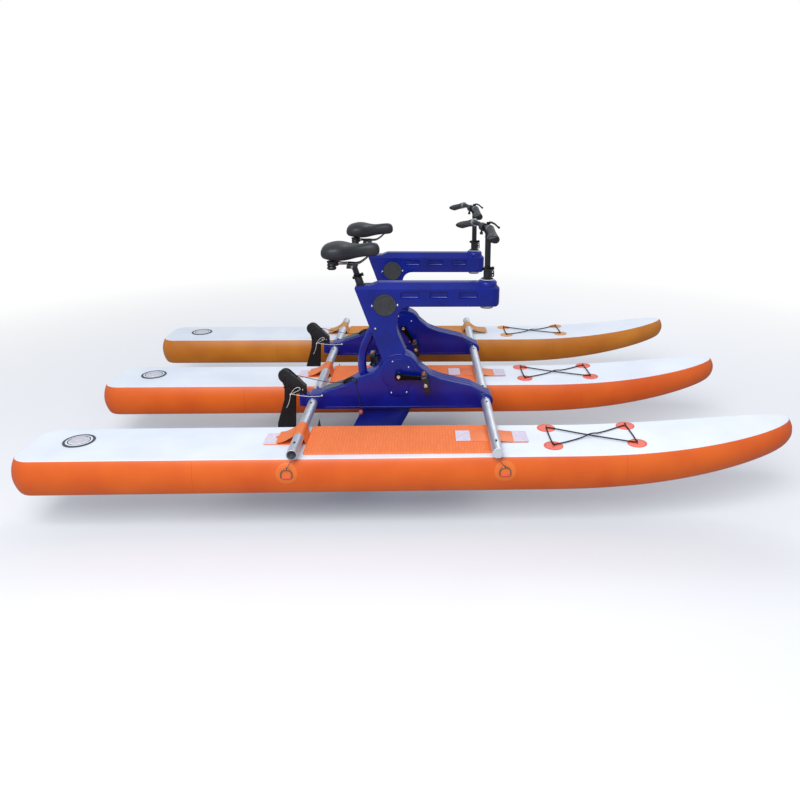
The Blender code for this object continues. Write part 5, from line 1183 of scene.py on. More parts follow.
# Moulded rubber: dark, with hardly any shine
hatch_rubber = plain("moulded_rubber_dark_grey", "2f3338", 0.55, 14, "2a2e33", "363a40", 0.15)
# Stainless screws: bright heads
screw_steel = plain("stainless_screw", "e2e3e4", 0.25, 2, "d6d7d9", "ececec", 0.02, 0.2, metallic=1.0)
# Grit under paint: dull. The grit is drawn at 2.5 mm so that it shows
grip_tape = plain("grip_tape_slate", "56666e", 0.85, 2.5, "47565e", "68777e", 0.4, 0.8)
# Moulded nylon: black, with a soft satin edge
nylon_black = plain("moulded_nylon_black", "141517", 0.42, 7, "101113", "1b1c1f", 0.12, 0.4)


def screw_head(spot, out, radius=0.0055, paint=None):
    """Button-head screw with a round socket."""
    rise = radius * 0.55
    profile = [(0, -0.002), (radius, -0.002), (radius, rise * 0.35), (radius * 0.86, rise * 0.75),
               (radius * 0.62, rise), (radius * 0.42, rise), (radius * 0.38, rise * 0.3), (0, rise * 0.3)]
    return turned_piece("screw", profile, spot, out, paint or screw_steel, 20)


for side, y in sides.items():
    cover = moulded_plate(side + "_cover_plate", cover_shape(0.0), -half_frame - 0.0012,
                          -half_frame + 0.0037, 0.0010, shell_blue)
    groove = turned_piece("cutter", [(0.0642, 0), (0.0658, 0), (0.0658, 0.002), (0.0642, 0.002)],
                          (crank_x, -half_frame - 0.0003, crank_z), (0, -1, 0), shell_blue, 64)
    bore = round_bar("cutter", (crank_x, -0.07, crank_z), (crank_x, 0, crank_z), spindle_bore, shell_blue)
    boolean(cover, "DIFFERENCE", groove, bore)
    tidy_mesh(cover, 2e-6)
    smooth(30)
    bolts = []
    for x, z in ((-0.116, 0.236), (-0.042, 0.236), (-0.108, 0.395), (-0.031, 0.366)):
        bolts.append(screw_head((x, -half_frame - 0.0012, z), (0, -1, 0), 0.0046))
    cover = join_all(side + "_cover_plate", cover, *bolts)
    cover.location = (0, y, 0)
    settle(cover, "boat", "blue_polyethylene", side + "_gearbox_cover")
    rings = [(0, 0), (0.0535, 0), (0.0535, 0.0050), (0.0525, 0.0062), (0.0450, 0.0064), (0.0436, 0.0052),
             (0.0300, 0.0046), (0.0292, 0.0052), (0.0276, 0.0052), (0.0268, 0.0046), (0, 0.0043)]
    hatch = turned_piece(side + "_hatch", rings, (-0.140, y - half_frame + 0.0047, 0.672), (0, -1, 0),
                         hatch_rubber, 64)
    settle(hatch, "boat", "black_polymer", side + "_hatch_cover")
    near_face = y - half_frame
    screws = []
    for x, z in ((-0.1995, 0.669), (-0.0805, 0.673), (-0.187, 0.559), (-0.452, 0.222)):
        screws.append(screw_head((x, near_face, z), (0, -1, 0)))
    for x, z in ((-0.140, 0.700), (-0.187, 0.559)):
        screws.append(screw_head((x, y + half_frame, z), (0, 1, 0)))
    settle(join_all(side + "_frame_screws", *screws), "boat", "brushed_steel")
    tape = moulded_plate(side + "_grip_tape", soft_rectangle(0, 0.086, -0.033, 0.033, 0.010),
                         0.0, 0.0024, 0.0007, grip_tape, "Z")
    tape.rotation_euler = (0, -math.atan2(0.039, 0.116), 0)
    tape.location = (-0.4400, y, 0.2436)
    settle(tape, "boat", "black_polymer")
    smooth(40)
    arch = [(-0.350, -0.0145, 0.2765), (-0.338, -0.022, 0.2890), (-0.322, -0.030, 0.3010),
            (-0.306, -0.039, 0.3075), (-0.294, -0.0475, 0.3065), (-0.2885, -0.0530, 0.3000),
            (-0.2860, -0.0555, 0.2900)]
    arch = [(x, y + across, z + 0.0012) for x, across, z in arch]
    lead = swept_bar("lead", arch, 0.0062, nylon_black)
    outline = [(px - 0.326, py) for px, py in soft_rectangle(-0.020, 0.020, -0.040, -0.012, 0.006)]
    foot = moulded_plate("foot", outline, 0.0, 0.0026, 0.0008, nylon_black, "Z")
    foot.rotation_euler = (0, -math.atan2(0.039, 0.067), 0)
    place_in_mesh(foot)
    centre = sum((vert.co for vert in foot.data.vertices), Vector()) / len(foot.data.vertices)
    foot.location = Vector((-0.326, y - 0.026, 0.2858)) - centre
    place_in_mesh(foot)
    smooth(40)
    settle(join_all(side + "_fairlead", lead, foot), "boat", "black_polymer")
    sleeve_profile = [(0.0142, -0.030), (0.0196, -0.030), (0.0196, 0.000), (0.0225, 0.0015),
                      (0.0225, 0.0075), (0.0196, 0.0095), (0.0184, 0.0105), (0.0180, 0.0560),
                      (0.0174, 0.0570), (0.0142, 0.0570)]
    settle(turned_piece(side + "_seat_sleeve", sleeve_profile, seat_mouth + Vector((0, y, 0)), seat_axis,
                        nylon_black, 48), "boat", "black_polymer")
    washer = [(0.0196, 0), (0.0330, 0), (0.0330, 0.0010), (0.0322, 0.0016), (0.0196, 0.0016)]
    washer = turned_piece(side + "_head_washer", washer, (head_x, y, arm_top + 0.0100), (0, 0, 1),
                          ring_white, 48)
    settle(washer, "boat", "black_polymer")


# Drive legs: a foil-shaped casing of the same blue polyethylene under each frame, with a pod for
# the propeller shaft at its foot.
leg_top, leg_foot, prop_z, prop_x = 0.1500, -0.075, -0.040, -0.478
leg_chord, leg_half, leg_middle = 0.240, 0.029, -0.133
leg_rake = math.tan(math.radians(27.7))
lower_apex = crank_centre + shaft_down * ((crank_z - prop_z) / math.cos(math.radians(26)))
for side, y in sides.items():
    deselect()
    bpy.ops.mesh.primitive_cylinder_add(vertices=64, radius=1, depth=2, end_fill_type="NGON")
    leg = bpy.context.object
    leg.name = side + "_leg_casing"
    cut_loops(leg, 2, [-0.992, -0.97, -0.93, -0.87, -0.80, -0.72, -0.5, -0.1, 0.4, 0.9])
    for vert in leg.data.vertices:
        a, b, c = vert.co
        height = leg_foot + (leg_top - leg_foot) * (c + 1) / 2
        fall = min(max(0.0, (prop_z - height) / (prop_z - leg_foot)), 1.0)
        shrink = 1 - 0.12 * fall - 0.30 * fall ** 5 - (0.10 if c < -0.999 else 0.0)
        middle = leg_middle - (leg_top - height) * leg_rake - 0.010 * fall
        vert.co = (middle + a * leg_chord / 2 * shrink, b * (0.72 + 0.28 * a) * leg_half * shrink, height)
    tidy_mesh(leg, 1e-6)
    leg.data.materials.append(shell_blue)
    pod_back = prop_x + 0.030
    length = lower_apex.x + 0.110 - pod_back
    profile = [(0, 0), (0.0195, 0), (0.0210, 0.0015), (0.0240, 0.010), (0.0262, 0.022), (0.0285, 0.042),
               (0.0300, 0.065), (0.0300, length - 0.085), (0.0285, length - 0.060),
               (0.0258, length - 0.040), (0.0205, length - 0.022), (0.0135, length - 0.0085),
               (0.0060, length - 0.0015), (0, length)]
    pod = turned_piece("pod", profile, (pod_back, 0, prop_z), (1, 0, 0), shell_blue, 48)
    activate(leg)
    smooth(35)
    leg = join_all(side + "_leg_casing", leg, pod)
    leg.location = (0, y, 0)
    settle(leg, "boat", "blue_polyethylene", side + "_drive_leg")


# Drive: hardened shafts and bevel gears run in bronze bushes inside the casing, where only the
# propeller end is seen. They stay as built, with a turned-steel finish.

# Turned steel: plain grey metal
turned_steel = plain("turned_steel", "b4b7bb", 0.34, 6, "a9acb0", "c2c4c8", 0.03, 0.3, metallic=1.0)
for side in sides:
    for part in ("drive_shaft", "propeller_shaft"):
        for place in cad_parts[side + "_" + part].material_slots:
            place.material = turned_steel


# Propellers: three-bladed, moulded of black glass-filled nylon on a long hub that is pressed on the
# propeller shaft. The blades twist less towards their tips.
blade_root, blade_span, blade_pitch = 0.014, 0.105, 0.055
for side, y in sides.items():
    hub_profile = [(0, 0.0), (0.0185, 0.0), (0.0195, 0.0010), (0.0205, 0.010), (0.0203, 0.030),
                   (0.0198, 0.048), (0.0180, 0.060), (0.0140, 0.069), (0.0085, 0.0745), (0.0055, 0.0757),
                   (0, 0.0758)]
    hub = turned_piece("hub", hub_profile, (prop_x + 0.0295, 0, prop_z), (-1, 0, 0), nylon_black, 48)
    boolean(hub, "DIFFERENCE", round_bar("cutter", (prop_x + 0.05, 0, prop_z), (prop_x - 0.021, 0, prop_z),
                                         0.0043, nylon_black, steps=24))
    smooth(35)
    blades = []
    for index in range(3):
        deselect()
        bpy.ops.mesh.primitive_cylinder_add(vertices=28, radius=1, depth=2, end_fill_type="NGON")
        blade = bpy.context.object
        cut_loops(blade, 2, [-0.85 + 0.13 * step for step in range(13)] + [0.90, 0.96])
        for vert in blade.data.vertices:
            a, b, c = vert.co
            share = (c + 1) / 2
            radius = blade_root + blade_span * share
            twist = math.atan2(blade_pitch, radius * 1.15)
            chord = 0.030 + 0.034 * math.sin(math.pi * min(share + 0.08, 1.0)) ** 0.8 - 0.018 * share
            if share > 0.86:
                chord *= math.sqrt(max(0.05, 1 - ((share - 0.86) / 0.145) ** 2))
            half = 0.0030 - 0.0017 * share
            along, thin = a * chord / 2, b * half
            x = along * math.sin(twist) - thin * math.cos(twist)
            across = along * math.cos(twist) + thin * math.sin(twist)
            vert.co = Matrix.Rotation(2 * math.pi * index / 3, 3, "X") @ Vector((-x, across, radius))
        blade.location = (prop_x, 0, prop_z)
        place_in_mesh(blade)
        tidy_mesh(blade, 1e-6)
        smooth(50)
        blade.data.materials.append(nylon_black)
        blades.append(blade)
    propeller = join_all(side + "_propeller_blades", hub, *blades)
    propeller.location = (0, y, 0)
    settle(propeller, side + "_screw", "black_polymer", side + "_propeller")


# Cranks: forged aluminium arms with a black finish on a steel spindle that carries the crown
# wheel. The arms taper to the pedal's eye and are held by a bright bolt.

# Anodised forging: black, with a satin shine
crank_black = plain("black_anodised_aluminium", "1b1c1f", 0.34, 5, "17181b", "232427", 0.04, 0.3,
                    metallic=1.0)
crank_angles = {"starboard": math.radians(4), "port": math.radians(54)}
crank_reach, arm_inner, arm_thickness, pedal_face = 0.130, 0.073, 0.014, 0.091
arm_widths = ((0.14, 0.0148), (0.22, 0.0133), (0.35, 0.0120), (0.60, 0.0107), (0.80, 0.0102),
              (0.88, 0.0109))
arm_outline = bow((0, 0), 0.0185, 62, 298, 24)
arm_outline += [(crank_reach * share, -width) for share, width in arm_widths]
arm_outline += bow((crank_reach, 0), 0.0135, -62, 62, 16)
arm_outline += [(crank_reach * share, width) for share, width in arm_widths[::-1]]


def crank_arm(name, centre, angle, low):
    """Arm from low outwards to port, turned to its angle about its centre."""
    arm = moulded_plate(name, arm_outline, 0.0, arm_thickness, 0.0034, crank_black)
    smooth(30)
    arm.rotation_euler = (0, angle, 0)
    arm.location = Vector(centre) + Vector((0, low, 0))
    place_in_mesh(arm)
    return arm


for side, y in sides.items():
    angle = crank_angles[side]
    centre = crank_centre + Vector((0, y, 0))
    for label, out, turn in (("starboard", -1, angle), ("port", 1, angle + math.pi)):
        inner = out * arm_inner
        arm = crank_arm("arm", centre, turn, min(inner, inner + out * arm_thickness))
        bolt = [(0, -0.001), (0.0088, -0.001), (0.0088, 0.0016), (0.0080, 0.0026), (0.0050, 0.0030),
                (0.0046, 0.0012), (0, 0.0010)]
        outer_face = centre + Vector((0, out * (arm_inner + arm_thickness), 0))
        pieces = [arm, turned_piece("bolt", bolt, outer_face, (0, out, 0), screw_steel, 32)]
        if label == "starboard":
            start, end = centre + Vector((0, -0.076, 0)), centre + Vector((0, 0.0745, 0))
            pieces.append(round_bar("spindle", start, end, 0.0115, turned_steel, rim=0.0008, steps=40))
            # The crown wheel is a copy of the built one, cut off the spindle
            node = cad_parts[side + "_crank_starboard"]
            activate(node)
            bpy.ops.object.duplicate(linked=False)
            wheel = bpy.context.object
            wheel.parent = None
            wheel.matrix_world = node.matrix_world.copy()
            place_in_mesh(wheel)
            tidy_mesh(wheel, 1e-6)
            bpy.ops.object.mode_set(mode="EDIT")
            bpy.ops.mesh.select_all(action="SELECT")
            bpy.ops.mesh.bisect(plane_co=centre + Vector((0, 0.002, 0)), plane_no=(0, 1, 0),
                                clear_inner=True, use_fill=True)
            bpy.ops.mesh.select_all(action="SELECT")
            bpy.ops.mesh.bisect(plane_co=centre + Vector((0, 0.036, 0)), plane_no=(0, 1, 0),
                                clear_outer=True, use_fill=True)
            bpy.ops.object.mode_set(mode="OBJECT")
            for key in list(wheel.keys()):
                del wheel[key]
            wheel.data.materials.clear()
            wheel.data.materials.append(turned_steel)
            pieces.append(wheel)
        crank = join_all("%s_crank_arm_%s" % (side, label), *pieces)
        settle(crank, side + "_crank", "black_polymer", "%s_crank_%s" % (side, label))


# Pedals: black nylon platforms on steel axles, with two windows, studs on both faces and a red
# reflector let into each end. They hang with their plates upright.

# Acrylic lens: clear gloss over small red cells
reflector = new_material("acrylic_reflector_red", "a8423c", 0.22)
tree = reflector.node_tree
tree.nodes["Principled BSDF"].inputs["Coat Weight"].default_value = 0.5
place = add(tree, "ShaderNodeTexCoord")
cells = add(tree, "ShaderNodeTexVoronoi", {"Vector": place.outputs["Object"], "Scale": 1000 / 2.0})
relief(reflector, cells.outputs["Distance"], 0.4, 0.6)


def pedal_piece(name):
    """Pedal about its axle, which points along +Y from the crank's face."""
    half, width = 0.046, 0.095
    outline = soft_corners([(-half, 0, 0.012), (half, 0, 0.012), (half, width, 0.016),
                            (-half, width, 0.016)])
    plate = moulded_plate(name, outline, -0.0130, 0.0130, 0.0030, nylon_black, "Z")
    cutters = []
    for low, high in ((-half + 0.011, -0.0125), (0.0125, half - 0.011)):
        window = soft_rectangle(low, high, 0.012, width - 0.012, 0.005, 5)
        cutters.append(moulded_plate("cutter", window, -0.03, 0.03, 0.0, nylon_black, "Z"))
    boolean(plate, "DIFFERENCE", *cutters)
    tidy_mesh(plate, 2e-6)
    smooth(35)
    cap = [(0, 0), (0.0085, 0), (0.0085, 0.0014), (0.0070, 0.0022), (0, 0.0022)]
    pieces = [plate]
    pieces.append(round_bar("barrel", (0, 0.001, 0), (0, width + 0.001, 0), 0.0118, nylon_black,
                            rim=0.0015))
    pieces.append(round_bar("axle", (0, -0.0185, 0), (0, 0.006, 0), 0.0060, turned_steel, rim=0.0006,
                            steps=24))
    pieces.append(turned_piece("cap", cap, (0, width + 0.0008, 0), (0, 1, 0), screw_steel, 24))
    for x in (-half + 0.0055, half - 0.0055, 0.0):
        for across in (0.014, 0.030, 0.064, 0.080):
            for out in (-1, 1):
                pieces.append(round_bar("stud", (x, across, out * 0.0128), (x, across, out * 0.0146),
                                        0.0017, nylon_black, 0.0013, steps=10))
    for out in (-1, 1):
        pieces.append(eased_block((0.0030, 0.048, 0.0130), (out * (half - 0.0003), width / 2, 0), 0.0010, 2,
                                  reflector))
        smooth(40)
    return join_all(name, *pieces)


first_pedal = pedal_piece("first_pedal")
hang = math.radians(78)
for side, y in sides.items():
    angle = crank_angles[side]
    for label, body, out, turn in (("starboard", "right", -1, angle), ("port", "left", 1, angle + math.pi)):
        pedal = twin(first_pedal, "%s_pedal_platform_%s" % (side, label), (0, 0, 0))
        turned = Matrix.Rotation(hang, 3, "Y") @ Matrix.Rotation(math.pi, 3, "Z")
        pedal.rotation_euler = (0, hang, 0) if out > 0 else turned.to_euler()
        pedal.location = crank_centre + Vector((crank_reach * math.cos(turn), y + out * pedal_face,
                                                -crank_reach * math.sin(turn)))
        settle(pedal, "%s_%s_pedal" % (side, body), "black_polymer", "%s_pedal_%s" % (side, label))
bpy.data.objects.remove(first_pedal, do_unlink=True)


# Seat posts: 27 mm black steel tube in the sleeve at each arm's end, with a two-bolt clamp block
# for the saddle's rails.

# Painted steel: black under a thin gloss
post_black = plain("black_painted_steel", "17181b", 0.30, 16, "131417", "1f2023", 0.05, 0.3)
post_black.node_tree.nodes["Principled BSDF"].inputs["Coat Weight"].default_value = 0.25
post_reach = 0.112
post_lifts = {"starboard": 0.0, "port": -0.015}
slides = {"starboard": 0.0, "port": 0.022}
for side, y in sides.items():
    head = seat_mouth + seat_axis * (post_reach + post_lifts[side]) + Vector((0, y, 0))
    post = round_bar("post", head - seat_axis * 0.250, head - seat_axis * 0.004, 0.0136, post_black,
                     rim=0.001, steps=48)
    seat_z = head.z - 0.002
    block = soft_corners([(head.x - 0.030, head.z - 0.020, 0.004), (head.x + 0.018, head.z - 0.020, 0.004),
                          (head.x + 0.022, seat_z, 0.002), (head.x - 0.028, seat_z, 0.002)], 4)
    block = moulded_plate("block", block, y - 0.031, y + 0.031, 0.0022, nylon_black)
    smooth(35)
    pieces = [post, block]
    for x in (head.x - 0.021, head.x + 0.012):
        for across in (-0.010, 0.010):
            pieces.append(screw_head(Vector((x, y + across, head.z - 0.0195)), (0, 0, -1), 0.0036))
    bolt = [(0, 0), (0.0062, 0), (0.0062, 0.0030), (0.0050, 0.0042), (0, 0.0042)]
    for out in (-1, 1):
        pieces.append(turned_piece("nut", bolt, Vector((head.x - 0.004, y + out * 0.0305, head.z - 0.011)),
                                   (0, out, 0), screw_steel, 6))
    settle(join_all(side + "_post", *pieces), side + "_seat", "black_polymer", side + "_seat_post")


# Saddles: moulded foam under black vinyl, stretched over a nylon base and drawn in along its
# edge, on black steel rails with two elastomer bumpers at the back. The padding is modelled
# directly as a crowned closed form: its cover is stretched tight and has no loose cloth.

# Vinyl: black and satin, with a fine leather grain
vinyl = new_material("black_vinyl", "222529", 0.52)
tree = vinyl.node_tree
tree.nodes["Principled BSDF"].inputs["Coat Weight"].default_value = 0.08
mottle(vinyl, 40, "1e2125", "282b30", 2.0)
place = add(tree, "ShaderNodeTexCoord")
# Leather grain of 1.2 mm cells
grain = add(tree, "ShaderNodeTexVoronoi", {"Vector": place.outputs["Object"], "Scale": 1000 / 1.2},
            feature="SMOOTH_F1")
relief(vinyl, grain.outputs["Distance"], 0.25, 0.5)
saddle_length = 0.268
# Distance from the rear, half width, depth below the crown and dip of the top
sections = [(0.000, 0.045, 0.061, 0.036), (0.008, 0.070, 0.074, 0.020), (0.030, 0.092, 0.082, 0.008),
            (0.066, 0.098, 0.088, 0.000), (0.100, 0.090, 0.089, 0.001), (0.130, 0.066, 0.085, 0.007),
            (0.165, 0.042, 0.077, 0.010), (0.205, 0.031, 0.072, 0.006), (0.240, 0.027, 0.070, 0.004),
            (0.260, 0.021, 0.063, 0.011), (0.268, 0.010, 0.050, 0.028)]


def between(along, column):
    """Section value at a distance from the saddle's rear, eased between the sections."""
    spots = [section[0] for section in sections]
    index = max(0, min(len(spots) - 2, sum(1 for spot in spots[1:] if spot <= along)))
    t = (along - spots[index]) / (spots[index + 1] - spots[index])
    values = [section[column] for section in sections]
    a, b = values[max(index - 1, 0)], values[index]
    c, d = values[index + 1], values[min(index + 2, len(values) - 1)]
    wide = spots[index + 1] - spots[index]
    left = wide / (spots[index + 1] - spots[max(index - 1, 0)])
    right = wide / (spots[min(index + 2, len(spots) - 1)] - spots[index])
    rise, fall = (c - a) * left, (d - b) * right
    value = (2 * t ** 3 - 3 * t ** 2 + 1) * b + (t ** 3 - 2 * t ** 2 + t) * rise
    return value + (3 * t ** 2 - 2 * t ** 3) * c + (t ** 3 - t ** 2) * fall


def saddle_body(name, rear, y, crown):
    """A cylinder with loops along it, drawn out to the saddle's form."""
    deselect()
    bpy.ops.mesh.primitive_cylinder_add(vertices=48, radius=1, depth=2, end_fill_type="NGON")
    body = bpy.context.object
    body.name = name
    stops = [0.002, 0.005, 0.010, 0.016, 0.023] + [0.030 + 0.010 * step for step in range(23)]
    stops += [0.256, 0.261, 0.2645, 0.2668]
    cut_loops(body, 2, [2 * stop / saddle_length - 1 for stop in stops])
    for vert in body.data.vertices:
        a, b, c = vert.co
        along = (c + 1) * saddle_length / 2
        half, depth, dip = (between(along, column) for column in (1, 2, 3))
        low, high = crown - depth, crown - dip
        angle = math.atan2(b, a)
        across, up = math.cos(angle), math.sin(angle)
        across = math.copysign(abs(across) ** 0.80, across)
        hollow = 0.20 * (1 - abs(across)) if up < 0 else 0.0
        share = math.copysign(abs(up) ** 0.75, up) * (1 - hollow)
        height = (low + high) / 2 + (high - low) / 2 * share
        # A drawn-in seam low on the flank, and a faint dip along the middle
        seam = math.exp(-((share + 0.45) / 0.09) ** 2)
        if up > 0:
            trough = 0.0022 * math.exp(-(across / 0.22) ** 2)
            height -= trough * math.sin(math.pi * min(along / saddle_length, 1.0))
        vert.co = (rear + along, y + across * half * (1 - 0.030 * seam), height)
    tidy_mesh(body, 1e-6)
    finer = body.modifiers.new("finer", "SUBSURF")
    finer.levels = finer.render_levels = 1
    bpy.ops.object.modifier_apply(modifier="finer")
    bpy.ops.object.shade_smooth()
    body.data.materials.append(vinyl)
    return body


for side, y in sides.items():
    head = seat_mouth + seat_axis * (post_reach + post_lifts[side])
    rail_z = head.z - 0.002 + 0.0038 + 0.0003
    crown = rail_z + 0.100
    rear = head.x + slides[side] - 0.144
    cushion = saddle_body(side + "_saddle_cushion", rear, y, crown)
    settle(cushion, side + "_seat", "black_vinyl", side + "_saddle")
    pieces = []
    for out in (-1, 1):
        path = [(rear + 0.050, y + out * 0.046, crown - 0.070),
                (rear + 0.056, y + out * 0.042, rail_z + 0.016),
                (rear + 0.066, y + out * 0.033, rail_z + 0.003), (rear + 0.084, y + out * 0.024, rail_z),
                (rear + 0.125, y + out * 0.0225, rail_z), (rear + 0.165, y + out * 0.022, rail_z),
                (rear + 0.192, y + out * 0.020, rail_z + 0.014),
                (rear + 0.222, y + out * 0.016, crown - 0.060)]
        pieces.append(swept_bar("rail", path, 0.0036, post_black))
        bumper = [(0, 0), (0.0165, 0), (0.0180, 0.0010), (0.0215, 0.0050), (0.0222, 0.0075),
                  (0.0215, 0.0100), (0.0182, 0.0140), (0.0178, 0.0155), (0.0205, 0.0190), (0.0212, 0.0215),
                  (0.0205, 0.0240), (0.0180, 0.0275), (0.0180, 0.0290), (0.0212, 0.0340), (0.0215, 0.0400),
                  (0, 0.0400)]
        pieces.append(turned_piece("bumper", bumper, (rear + 0.050, y + out * 0.050, crown - 0.122),
                                   (0, 0, 1), nylon_black, 32))
    settle(join_all(side + "_saddle_rails", *pieces), side + "_seat", "black_polymer")


# Quick-release levers: a black aluminium cam lever on a collar lug, with a round thumb nut on the
# collar's other side. One clamps each seat post, one each stem.
def cam_lever(name, middle, axis, radius):
    """Lever round a collar, whose pivot barrel lies at its own +X side; axis turns it."""
    reach = radius + 0.0058 + 0.0003
    pieces = [round_bar("barrel", (reach, 0, -0.0078), (reach, 0, 0.0078), 0.0056, crank_black, rim=0.0008,
                        steps=28)]
    path = []
    for step in range(13):
        angle = math.radians(-10 * step)
        far = reach + 0.0035 * math.sin(math.pi * step / 12)
        path.append((far * math.cos(angle), far * math.sin(angle), 0.0005 * step))
    handle = cord_curve("handle", path, 0.0034, crank_black)
    for index, knot in enumerate(handle.data.splines[0].bezier_points):
        knot.radius = 1.0 + 0.35 * math.sin(math.pi * min(index / 11, 1.0))
    bpy.ops.object.convert(target="MESH")
    handle.data.transform(Matrix.Diagonal((1, 1, 1.5, 1)))
    tidy_mesh(handle, 1e-6)
    bpy.ops.object.shade_smooth()
    pieces.append(handle)
    made = join_all(name, *pieces)
    made.matrix_world = Matrix.Translation(middle) @ axis.to_4x4()
    place_in_mesh(made)
    return made


lean = Matrix.Rotation(-seat_lean, 3, "Y")
for side, y in sides.items():
    middle = seat_mouth + seat_axis * 0.051 + Vector((0, y, 0))
    lever = cam_lever(side + "_seat_cam", middle, lean, 0.0181)
    settle(lever, side + "_seat_clamp", "black_polymer", side + "_seat_lever")


# Steering columns: a black steel tube in each head, with a pale nut under the arm, a flange above
# it and a clamp collar whose drilled lug points forward. They are turned 12 degrees to port.
steer = math.radians(12.4)
head_turn = Matrix.Rotation(steer, 4, "Z")
collar_z = 0.8385


def steered(piece, y):
    """Turn a piece that was modelled straight ahead about (head_x, 0) with the column."""
    place = Matrix.Translation((head_x, y, 0)) @ head_turn
    piece.matrix_world = place @ Matrix.Translation((-head_x, 0, 0))
    place_in_mesh(piece)
    return piece


for side, y in sides.items():
    profile = [(0.0143, 0.6500), (0.0300, 0.6500), (0.0300, 0.6525), (0.0185, 0.6530), (0.0185, 0.7889),
               (0.0278, 0.7889), (0.0290, 0.7899), (0.0290, 0.7915), (0.0280, 0.7928), (0.0200, 0.7945),
               (0.0185, 0.7960), (0.0185, 0.8300), (0.0205, 0.8310), (0.0210, 0.8318), (0.0210, 0.8442),
               (0.0202, 0.8450), (0.0143, 0.8450)]
    column = turned_piece("column", profile, (head_x, 0, 0), (0, 0, 1), post_black, 56)
    nut = [(0.0190, 0.6535), (0.0300, 0.6535), (0.0325, 0.6550), (0.0325, 0.6615), (0.0315, 0.6626),
           (0.0190, 0.6626)]
    nut = turned_piece("nut", nut, (head_x, 0, 0), (0, 0, 1), ring_white, 48)
    lug = soft_corners([(head_x + 0.017, 0.797, 0.002), (head_x + 0.033, 0.797, 0.006),
                        (head_x + 0.033, 0.829, 0.006), (head_x + 0.017, 0.829, 0.002)], 5)
    lug = moulded_plate("lug", lug, -0.0055, 0.0055, 0.0012, post_black)
    holes = [round_bar("cutter", (head_x + 0.0262, -0.02, z), (head_x + 0.0262, 0.02, z), 0.0042,
                       post_black, steps=24) for z in (0.8055, 0.8205)]
    boolean(lug, "DIFFERENCE", *holes)
    tidy_mesh(lug, 1e-6)
    smooth(35)
    made = steered(join_all(side + "_column_tube", column, nut, lug), y)
    settle(made, side + "_column", "black_polymer", side + "_steerer")
    lever = cam_lever(side + "_stem_cam", Vector((head_x, 0, collar_z)), Matrix.Identity(3), 0.0210)
    thumb = [(0, 0), (0.0060, 0), (0.0066, 0.0012), (0.0066, 0.0060), (0.0056, 0.0072), (0, 0.0072)]
    settle(steered(lever, y), side + "_stem_clamp", "black_polymer", side + "_stem_lever")
    collar_nut = turned_piece(side + "_collar_nut", thumb, (head_x - 0.0205, 0, collar_z), (-1, 0, 0),
                              crank_black, 24)
    settle(steered(collar_nut, y), side + "_column", "black_polymer")
    spot = seat_mouth + seat_axis * 0.047 + lean @ Vector((-0.0178, 0, 0)) + Vector((0, y, 0))
    settle(turned_piece(side + "_seat_nut", thumb, spot, lean @ Vector((-1, 0, 0)), crank_black, 24),
           "boat", "black_polymer")


# Handlebars: a swept black alloy bar clamped on the stem, with shaped grips of stippled rubber,
# each with a palm wing, a pale inner ring and an end plug. A knob under the clamp tightens it.

# Anodised tube: dark metal that still mirrors light softly
bar_black = plain("black_alloy_tube", "26292b", 0.30, 10, "212426", "2d3032", 0.03, 0.3, metallic=1.0)
# Rubber with moulded dots 2.2 mm apart: dark grey and dull
grip_rubber = new_material("stippled_rubber_grey", "3b3e40", 0.62)
mottle(grip_rubber, 5, "343739", "464a4c")
place = add(grip_rubber.node_tree, "ShaderNodeTexCoord")
dots = add(grip_rubber.node_tree, "ShaderNodeTexVoronoi",
           {"Vector": place.outputs["Object"], "Scale": 1000 / 2.2})
relief(grip_rubber, dots.outputs["Distance"], 0.5, 0.7)
# Anodised ring: bright and pale
ring_grey = plain("anodised_lock_ring", "c9cdd0", 0.35, 4, "bfc3c6", "d5d8da", 0.03, 0.3, metallic=1.0)
bar_height, bar_setback, bar_half, bar_thin = 1.034, 0.022, 0.270, 0.0111
grip_from, grip_thick = 0.125, 0.0165


def bar_point(reach, out):
    """Point of the bar's centre line at a reach from the middle, steered straight ahead."""
    share = min(reach / bar_half, 1.0)
    back = bar_setback + 0.030 * share ** 1.5
    rise = 0.008 * math.sin(math.pi * min(share / 0.8, 1.0)) - 0.022 * max(0.0, share - 0.45) / 0.55
    return Vector((head_x - back, out * reach, bar_height + rise))


